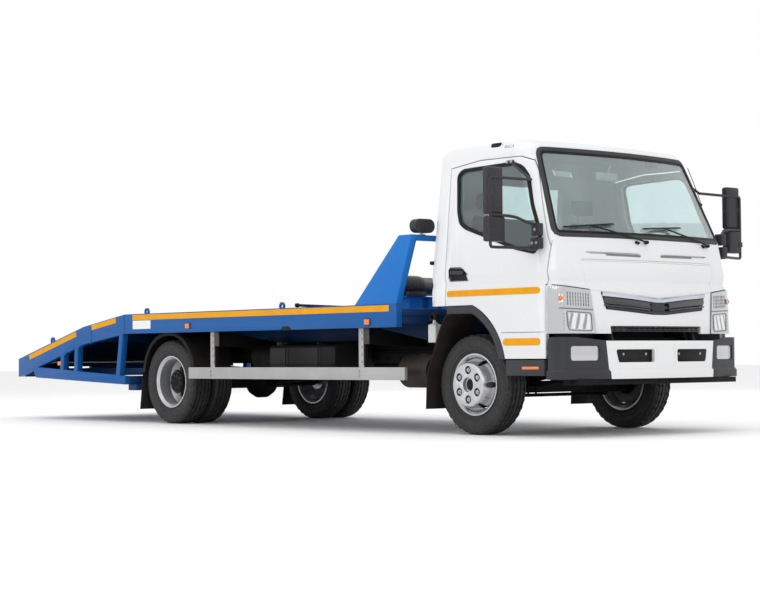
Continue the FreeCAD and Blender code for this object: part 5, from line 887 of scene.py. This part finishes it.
seal_black = sprayed("seal_black", (0.012, 0.012, 0.013), (0.022, 0.022, 0.023), 0.55, broad=8, bump=0.1)
window_line = [(2.65, 1.57), (3.188, 1.392), (3.4, 1.347), (3.438, 1.47), (3.334, 1.701), (3.262, 1.92),
               (3.2, 1.996), (3.11, 2.026), (2.58, 2.014), (2.53, 1.98), (2.558, 1.7), (2.588, 1.61)]
door_seal = band(rounded_corners(window_line, 0.03), 0.026, -0.01, 0.006, True, 0.003, place_at=on_side)
mirrored([door_seal], "window_seal_right", seal_black, "door_right", 0)
door_y = -1.042
door_tapes = [side_tape((2.481, 1.072), (3.461, 1.072), door_y, 0.048, 0.0015, 0.004, True),
              side_tape((3.079, 0.6995), (3.461, 0.6995), door_y, 0.053, 0.0015, 0.004, True)]
mirrored(door_tapes, "door_tape_right", tape_orange, "door_right", 0)
# The grey band is painted shade in the door's pressed crease; the same grey colours the headlamp frames.
crease_shade_and_frame_grey = sprayed("crease_shade_and_frame_grey", (0.16, 0.165, 0.17), (0.13, 0.135, 0.14), 0.5, broad=9)
crease_shade_line = band([(3.063, 0.769), (3.489, 0.769)], 0.005, -0.002, 0.0006, place_at=on_side)
mirrored([crease_shade_line], "door_line_right", crease_shade_and_frame_grey, "door_right", 0)
cup_line = rounded_corners([(2.494, 1.266), (2.661, 1.26), (2.708, 1.17), (2.507, 1.172)], 0.022)
cup = patch(cup_line, -0.003, 0.0015, on_side)
mirrored([cup], "handle_cup_right", hub_black, "door_right", 0)
handle = [band([(2.54, 1.234), (2.655, 1.228)], 0.028, 0.0, 0.014, False, 0.004, True, on_side),
          round_bar(on_side(2.53, 1.192, -0.002), on_side(2.53, 1.192, 0.008), 0.011, 20)]
mirrored(handle, "door_handle_right", trim_grey, "door_right", 0.003, 3)

# Glazing: laminated screen and tempered side windows with a faint green tint, set in dark rubber.
# The screen has a printed dark edge and a blank white label inside.
panes = {}
for name, clear in (("screen_glass", 0.84), ("door_glass", 0.97)):
    panes[name] = new_finish(name, {"Transmission Weight": clear, "IOR": 1.2, "Coat Weight": 1.0})
    smear = noise(panes[name], 3, 4)
    driven(panes[name], "Base Color", smear, (0.3, (0.66, 0.76, 0.76)), (0.7, (0.6, 0.71, 0.71)))
    driven(panes[name], "Roughness", smear, (0.3, 0.01), (0.7, 0.03))
dressed("cab_glass", panes["screen_glass"], 0)
dressed("door_glass_right", panes["door_glass"], 0)
dressed("door_glass_left", panes["door_glass"], 0)
screen_grey = sprayed("screen_grey", (0.03, 0.031, 0.036), (0.04, 0.041, 0.045), 0.5, broad=8, bump=0.1)
screen_line = rounded_corners([(-0.938, 1.476), (0.938, 1.476), (0.831, 2.135), (-0.831, 2.135)], 0.06)
screen_seal = band(screen_line, 0.03, -0.012, 0.005, True, 0.003)
settled([screen_seal], "screen_seal", screen_grey, "cab", 0)
border_line = rounded_corners([(-0.915, 1.497), (0.915, 1.497), (0.812, 2.113), (-0.812, 2.113)], 0.05)
settled([band(border_line, 0.026, -0.0085, -0.0015, True)], "screen_border", hub_black, "cab", 0)
sticker = patch([(-0.755, 1.925), (-0.59, 1.915), (-0.59, 1.958), (-0.755, 1.968)], -0.0125, -0.01)
settled([sticker], "screen_sticker", label_white, "cab", 0)

# Wipers: two black steel arms pivot below the screen, each with a rubber blade.
# Two small washer nozzles of moulded plastic sit beside each pivot.
wiper_parts = []
for pivot, heel, tip in (((-0.082, 1.44), (-0.854, 1.534), (-0.377, 1.571)),
                         ((0.718, 1.443), (-0.074, 1.545), (0.394, 1.572))):
    pivot, heel, tip = Vector(pivot), Vector(heel), Vector(tip)
    middle = (heel + tip) / 2
    wiper_parts += [round_bar(on_front(*pivot, -0.008), on_front(*pivot, 0.028), 0.016, 20, 0.013),
                    bent_tube([on_front(*pivot, 0.02), on_front(*pivot.lerp(middle, 0.35), 0.03),
                               on_front(*middle, 0.026)], 0.0065),
                    band([heel, middle, tip], 0.012, 0.014, 0.022),
                    band([heel, middle, tip], 0.005, 0.001, 0.016)]
for y, z in ((-0.184, 1.436), (-0.165, 1.43), (0.652, 1.438), (0.671, 1.432)):
    spray_end = on_front(y, z, 0.016) + Vector((0, 0, 0.004))
    wiper_parts.append(round_bar(on_front(y, z, -0.004), spray_end, 0.011, 16, 0.008))
settled(wiper_parts, "wipers", hub_black, "cab", 0.001, 1)

# Front end: vents behind a black wire mesh, with grey lines of painted shade above them, a hood panel with a
# shadow line painted in the same grey, and a chrome-topped grille.
# The grille's bars are moulded plastic that clips to the panel, with dark intake bars below.
mesh_black = new_finish("mesh_black", {"Roughness": 0.55})
weave = fed(mesh_black, "TexChecker", None, {"Scale": 170}).outputs["Fac"]
driven(mesh_black, "Base Color", weave, (0.0, 0.06), (1.0, 0.3))
vents = [band(line, 0.016, -0.004, 0.0012, round_ends=True)
         for line in ([(-0.497, 1.338), (-0.16, 1.333)], [(0.081, 1.337), (0.465, 1.341)])]
settled(vents, "vent_mesh", mesh_black, "cab", 0)
# Painted shade: grey lines stand for the shade along the vents' upper lips and in the hood panel's gap.
gap_shade_grey = sprayed("gap_shade_grey", (0.4, 0.41, 0.42), (0.34, 0.35, 0.36), 0.4, broad=9)
gap_shade_lines = [band([(-0.688, 1.352), (-0.154, 1.345)], 0.005, -0.002, 0.0016, round_ends=True),
           band([(0.082, 1.349), (0.688, 1.355)], 0.005, -0.002, 0.0016, round_ends=True),
           band([(-0.74, 1.3), (0.74, 1.3)], 0.004, -0.002, 0.0008)]
settled(gap_shade_lines, "panel_line_shades", gap_shade_grey, "cab", 0)
chrome = new_finish("chrome", {"Metallic": 0.9})
driven(chrome, "Base Color", (4, 4), (0.3, (0.62, 0.66, 0.72)), (0.7, (0.5, 0.54, 0.6)))
driven(chrome, "Roughness", (30, 3), (0.3, 0.12), (0.7, 0.22))
grille_dark = sprayed("grille_dark", (0.02, 0.021, 0.024), (0.035, 0.036, 0.04), 0.38, broad=8)
slat_grey = sprayed("slat_grey", (0.03, 0.031, 0.04), (0.045, 0.046, 0.056), 0.28, coat=0.4, broad=8)
dressed("grille", grille_dark)
for name, line, width, high, crown, finish in (
        ("grille_top_bar", [(0.046, 1.002), (0.3, 1.026), (0.585, 1.046)], 0.026, 0.012, 0.006, chrome),
        ("grille_low_bar", [(0.1, 0.91), (0.3, 0.928), (0.545, 0.946)], 0.012, 0.008, 0.003, grille_dark)):
    bar = band([(-y, z) for y, z in line[::-1]] + line, width, -0.004, high, crown=crown)
    settled([bar], name, finish, "cab", 0)
slats = []
for share, width, crown in ((0.44, 0.046, 0.01), (0.82, 0.01, 0.002)):
    outer_z, inner_z = 1.046 - 0.1 * share, 1.002 - 0.092 * share
    for sign in (-1, 1):
        slats.append(band([(sign * 0.57, outer_z), (sign * 0.3, (outer_z + inner_z) / 2 + 0.002),
                           (sign * 0.11, inner_z + 0.004)], width, -0.006, 0.01, crown=crown))
settled(slats, "grille_slats", slat_grey, "cab", 0)
intake_bars = [band([(-0.48, 0.788), (0.48, 0.788)], 0.006, -0.012, -0.002),
               band([(-0.505, 0.808), (0.505, 0.808)], 0.008, -0.012, 0.004, crown=0.003)]
for y in (-0.464 + 0.058 * number for number in range(17)):
    intake_bars.append(band([(y, 0.776), (y, 0.802)], 0.005, -0.012, -0.003))
settled(intake_bars, "intake_bars", grille_dark, "cab", 0)

# Headlamps: a moulded clear lens with fine flutes over an upper bowl and a lower reflector, with a satin
# silver panel outboard. The fog lamps and the roof lamps have the same clear plastic.
lens_clear = new_finish("lens_clear", {"Metallic": 0.8, "Roughness": 0.16, "Coat Weight": 1.0,
                                       "Coat Roughness": 0.02})
axes = fed(lens_clear, "SeparateXYZ").outputs
slanted = worked_out(lens_clear, "ADD", axes["X"], axes["Y"])
flutes = worked_out(lens_clear, "SINE", worked_out(lens_clear, "MULTIPLY", slanted, 260))
bumped(lens_clear, flutes, 0.3, 0.002)
driven(lens_clear, "Base Color", (2, 3), (0.3, (0.55, 0.56, 0.57)), (0.7, (0.48, 0.49, 0.5)))
for node in ("headlamps", "fog_lamps", "roof_lamps"):
    dressed(node, lens_clear)
silver_satin = sprayed("silver_satin", (0.74, 0.74, 0.75), (0.66, 0.66, 0.67), 0.32, metal=0.6, broad=8)
reflector = new_finish("reflector", {"Metallic": 0.8, "Roughness": 0.12, "Coat Weight": 1.0})
# Painted reflection: bands of light and dark grey in the reflector's colour stand for light caught by its
# facets.
painted_reflection_bands = fed(reflector, "TexWave", None, {"Scale": 24, "Distortion": 0.8}).outputs["Fac"]
driven(reflector, "Base Color", painted_reflection_bands, (0.1, (0.3, 0.31, 0.32)), (0.6, (0.8, 0.82, 0.84)))
reflector_line = rounded_corners([(-0.914, 0.918), (-0.7, 0.905), (-0.698, 0.775), (-0.902, 0.782)], 0.02)
frames = [band([(-1.03, 0.943), (-0.683, 0.93)], 0.008, 0.004, 0.0125),
          band(reflector_line, 0.007, 0.006, 0.0125, True)]
for row in range(4):
    for column in range(9):
        y, z = -0.9 + 0.0225 * column, 0.974 + 0.025 * row - 0.0012 * column
        frames.append(band([(y, z - 0.01), (y, z + 0.01)], 0.006, 0.006, 0.0118))
for z in (0.9 - 0.026 * number for number in range(5)):
    frames.append(band([(-0.99, z), (-0.932, z)], 0.003, 0.006, 0.0128))
panel = patch([(-1.0, 0.925), (-0.928, 0.925), (-0.922, 0.775), (-0.985, 0.778)], 0.004, 0.0115)
bowl_line = [(0.0, 0.0005), (0.004, 0.018), (0.006, 0.03), (0.001, 0.034), (-0.004, 0.034)]
signal_line = [(0.003, 0.0005), (0.003, 0.017), (0.01, 0.017), (0.017, 0.01), (0.018, 0.0005)]
bowl, signal = spun(bowl_line, (0, 0, 0), 28), spun(signal_line, (0, 0, 0), 24)
bulb_at, bulb_turn = on_front(-0.955, 1.012, 0.008), math.radians(-127)
for part in (bowl, signal):
    part.data.transform(Matrix.Translation(bulb_at) @ Matrix.Rotation(bulb_turn, 4, "Z"))
low_bowl = patch(rounded_corners([(-0.9, 0.908), (-0.712, 0.896), (-0.711, 0.786), (-0.89, 0.792)], 0.02),
                 0.004, 0.0112)
for pieces, name, finish in (
        (frames, "lamp_frames_right", crease_shade_and_frame_grey), ([panel], "lamp_panels_right", silver_satin),
        ([bowl, low_bowl], "lamp_bowls_right", reflector), ([signal], "lamp_signals_right", marker_orange)):
    mirrored(pieces, name, finish, "cab", 0)
# Painted shade: a black band lies in the gap between the headlamp and the panel.
gap_shade_line = [(-0.655, 0.757), (-0.7, 1.078), (-0.88, 1.098), (-1.02, 1.112)]
mirrored([band(gap_shade_line, 0.006, -0.002, 0.003)], "lamp_seal_right", hub_black, "cab", 0)

# Bumper details: zinc-plated bolts inside the two slots of the bumper.
# A black plastic backing closes each slot behind them.
slot_bolts = [((3.722, y, 0.605), (1, 0, 0)) for y in (-0.44, -0.19, 0.19, 0.44)]
bolts("slot_bolts", slot_bolts, zinc, "chassis", 0.013, 0.005)
backing = [block((3.714, y - 0.195, 0.53), (3.722, y + 0.195, 0.655)) for y in (-0.315, 0.315)]
settled(backing, "slot_backing", hub_black, "chassis", 0.001)

# Mirrors: black moulded heads clamped to a frame of bent steel tube, with silvered glass facing back.
# The frame stands on two blocks bolted to the door and on a foot by the roof.
silvered = new_finish("silvered", {"Metallic": 1.0, "Roughness": 0.04})
driven(silvered, "Base Color", (5, 3), (0.3, (0.8, 0.82, 0.84)), (0.7, (0.74, 0.76, 0.78)))
mirror_black = sprayed("mirror_black", (0.022, 0.022, 0.027), (0.032, 0.032, 0.037), 0.4, fine=900, bump=0.12)
head_parts = []
for low_z, high_z, front_x in ((1.616, 1.957, 3.345), (1.418, 1.6, 3.365)):
    head = block((3.279, -1.441, low_z), (front_x, -1.285, high_z))
    add_rounding(head, 0.018, 7, 30)
    apply_all(head)
    clamp_z = (low_z + high_z) / 2 - 0.02
    clamp = block((front_x - 0.006, -1.4425, clamp_z - 0.02), (front_x + 0.004, -1.395, clamp_z + 0.02))
    head_parts += [head, clamp]
heads = mirrored(head_parts, "mirror_heads_right", mirror_black, "door_right", 0.002, 2, 40)
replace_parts(heads[0], "mirrors_right")
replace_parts(heads[1], "mirrors_left")
glasses = [block((3.2755, -1.422, 1.638), (3.2795, -1.304, 1.935)),
           block((3.2755, -1.422, 1.44), (3.2795, -1.304, 1.578))]
mirrored(glasses, "mirror_glass_right", silvered, "door_right", 0.0015)
outer_tube = [(3.44, -1.07, 1.376), (3.4, -1.23, 1.376), (3.356, -1.4, 1.376), (3.352, -1.43, 1.378),
              (3.352, -1.431, 1.42), (3.352, -1.431, 1.6), (3.352, -1.431, 1.84), (3.352, -1.43, 1.878),
              (3.349, -1.4, 1.88), (3.335, -1.23, 1.883), (3.312, -0.966, 1.888)]
middle_tube = [(3.352, -1.431, 1.609), (3.365, -1.3, 1.607), (3.378, -1.19, 1.6), (3.4, -1.14, 1.57),
               (3.44, -1.075, 1.548)]
roof_tube = [(3.312, -0.966, 1.888), (3.23, -0.962, 1.944), (3.09, -0.956, 2.04)]
tubes = [bent_tube(outer_tube, 0.011, 5, 5), bent_tube(middle_tube, 0.011, 5, 5),
         bent_tube(roof_tube, 0.01, 5, 5)]
mirrored(tubes, "mirror_tubes_right", mirror_black, "door_right", 0, angle=60)
mounts = [block((3.408, -1.086, 1.368), (3.494, -1.03, 1.452)),
          block((3.412, -1.078, 1.466), (3.488, -1.024, 1.556)),
          block((3.045, -0.964, 2.024), (3.125, -0.946, 2.05)),
          round_bar((3.4, -1.096, 1.376), (3.48, -1.078, 1.376), 0.019, 24)]
mirrored(mounts, "mirror_blocks_right", mirror_black, "door_right", 0.008, 4)
mirror_bolts = [(place, (0, -1, 0)) for place in (
    (3.43, -1.087, 1.412), (3.472, -1.087, 1.412), (3.45, -1.079, 1.51), (3.062, -0.965, 2.037),
    (3.106, -0.965, 2.037))]
mirror_bolts = bolts("mirror_bolts_right", mirror_bolts, zinc, "door_right", 0.014, 0.005)
on_left(mirror_bolts, "door_right")

# Small things on the cab: roof lamps on black bases, a thin aerial on the left pillar, a rubber buffer
# behind. Reflective orange strips are stuck on the step panels, and small lamps on the deck's slope.
roof_lamp_y = (-0.88, 0.88)
lamp_feet = [block((2.845, y - 0.04, 2.12), (2.955, y + 0.04, 2.2)) for y in roof_lamp_y]
settled(lamp_feet, "roof_lamp_bases", hub_black, "cab", 0.016, 4)
lamp_tops = [block((2.925, y - 0.034, 2.14), (2.985, y + 0.034, 2.19)) for y in roof_lamp_y]
settled(lamp_tops, "roof_lamp_lenses", lens_clear, "cab", 0.014, 4)
slope_lamp = block((-3.008, -1.158, 0.534), (-2.95, -1.12, 0.574))
mirrored([slope_lamp], "slope_lamp_right", marker_orange, "chassis", 0.006, 3)
aerial = [bent_tube([on_front(0.905, 1.79, 0.004), on_front(0.893, 1.85, 0.02),
                     on_front(0.862, 2.09, 0.03)], 0.003, 3),
          round_bar(on_front(0.906, 1.78, -0.004), on_front(0.905, 1.796, 0.012), 0.009, 16)]
settled(aerial, "aerial", hub_black, "cab", 0)
buffer = round_bar((2.298, -0.9, 1.317), (2.298, -1.036, 1.317), 0.017, 24, 0.015)
settled([buffer], "cab_buffer", hub_black, "cab", 0.003)
step_strip = block((3.272, -1.0418, 0.499), (3.44, -1.038, 0.519))
mirrored([step_strip], "step_strip_right", marker_orange, "chassis", 0.001)

# Inside: a moulded dark grey dashboard with the steering wheel.
# A small mirror in a pale plastic shell hangs from the screen.
dash_grey = sprayed("dash_grey", (0.028, 0.028, 0.03), (0.042, 0.042, 0.044), 0.6, fine=1200, bump=0.25)
dressed("dashboard", dash_grey, 0.004)
inner_mirror = [block((3.3, -0.265, 1.925), (3.322, -0.025, 1.985)),
                round_bar((3.318, -0.145, 1.98), (3.352, -0.145, 2.04), 0.007, 12)]
settled(inner_mirror, "inner_mirror", label_white, "cab", 0.006, 3)

# Seats: foam cushions under woven grey cloth on black bases; a single one for the driver, a wide one beside
# it. Each cushion is swollen by cloth simulation and then kept within the seat's own space.
seat_cloth = new_finish("seat_cloth", {"Roughness": 0.92, "Sheen Weight": 0.3})
driven(seat_cloth, "Base Color", (14, 5), (0.3, (0.055, 0.058, 0.066)), (0.7, (0.085, 0.088, 0.096)))
bumped(seat_cloth, fed(seat_cloth, "TexChecker", None, {"Scale": 420}).outputs["Fac"], 0.35, 0.0008)
swell_limit, swell_steps = 0.024, 20


def cushion(name, low, high, lean=0.0):
    """A padded block between two corners, leaned back about its lower rear edge."""
    piece = block(low, high)
    bpy.ops.transform.rotate(value=lean, orient_axis="Y", center_override=(low[0], 0, low[2]))
    bpy.ops.object.transform_apply()
    add_rounding(piece, 0.035, 3, 30)
    even = piece.modifiers.new("even", "REMESH")
    even.mode = "VOXEL"
    even.voxel_size = 0.018
    apply_all(piece)
    before = [vertex.co.copy() for vertex in piece.data.vertices]
    cloth = piece.modifiers.new("cloth", "CLOTH")
    cloth.settings.use_pressure = True
    cloth.settings.uniform_pressure_force = 4
    cloth.settings.effector_weights.gravity = 0
    for step in range(swell_steps):
        bpy.context.scene.frame_set(step + 1)
    bpy.ops.object.modifier_apply(modifier="cloth")
    bpy.context.scene.frame_set(1)
    for vertex, start in zip(piece.data.vertices, before):
        moved = vertex.co - start
        if moved.length > swell_limit:
            vertex.co = start + moved.normalized() * swell_limit
    piece.modifiers.new("finer", "SUBSURF").levels = 1
    apply_all(piece)
    piece.name = name
    piece.data.materials.append(seat_cloth)
    bpy.ops.object.shade_smooth_by_angle(angle=math.radians(70))
    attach(piece, "cab")


for name, low_y, high_y in (("driver", 0.285, 0.715), ("bench", -0.825, -0.015)):
    cushion(name + "_seat_cushion", (2.46, low_y, 1.13), (2.895, high_y, 1.228))
    cushion(name + "_seat_back", (2.455, low_y, 1.255), (2.54, high_y, 1.7), math.radians(-6))
cushion("driver_head_rest", (2.43, 0.375, 1.735), (2.5, 0.625, 1.87))
cushion("bench_head_rest", (2.43, -0.7, 1.735), (2.5, -0.45, 1.87))
seat_frames = []
for low_y, high_y in ((0.262, 0.738), (-0.848, 0.008)):
    seat_frames += [block((2.424, low_y, 1.007), (2.916, high_y, 1.12)),
                    block((2.424, low_y + 0.02, 1.12), (2.446, high_y - 0.02, 1.25))]
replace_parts(settled(seat_frames, "seat_bases", dash_grey, "cab", 0.012, 3), "seats")
rods = [round_bar((2.465, y, 1.69), (2.465, y, 1.75), 0.006, 12) for y in (0.45, 0.55, -0.625, -0.525)]
settled(rods, "head_rest_rods", zinc, "cab", 0)
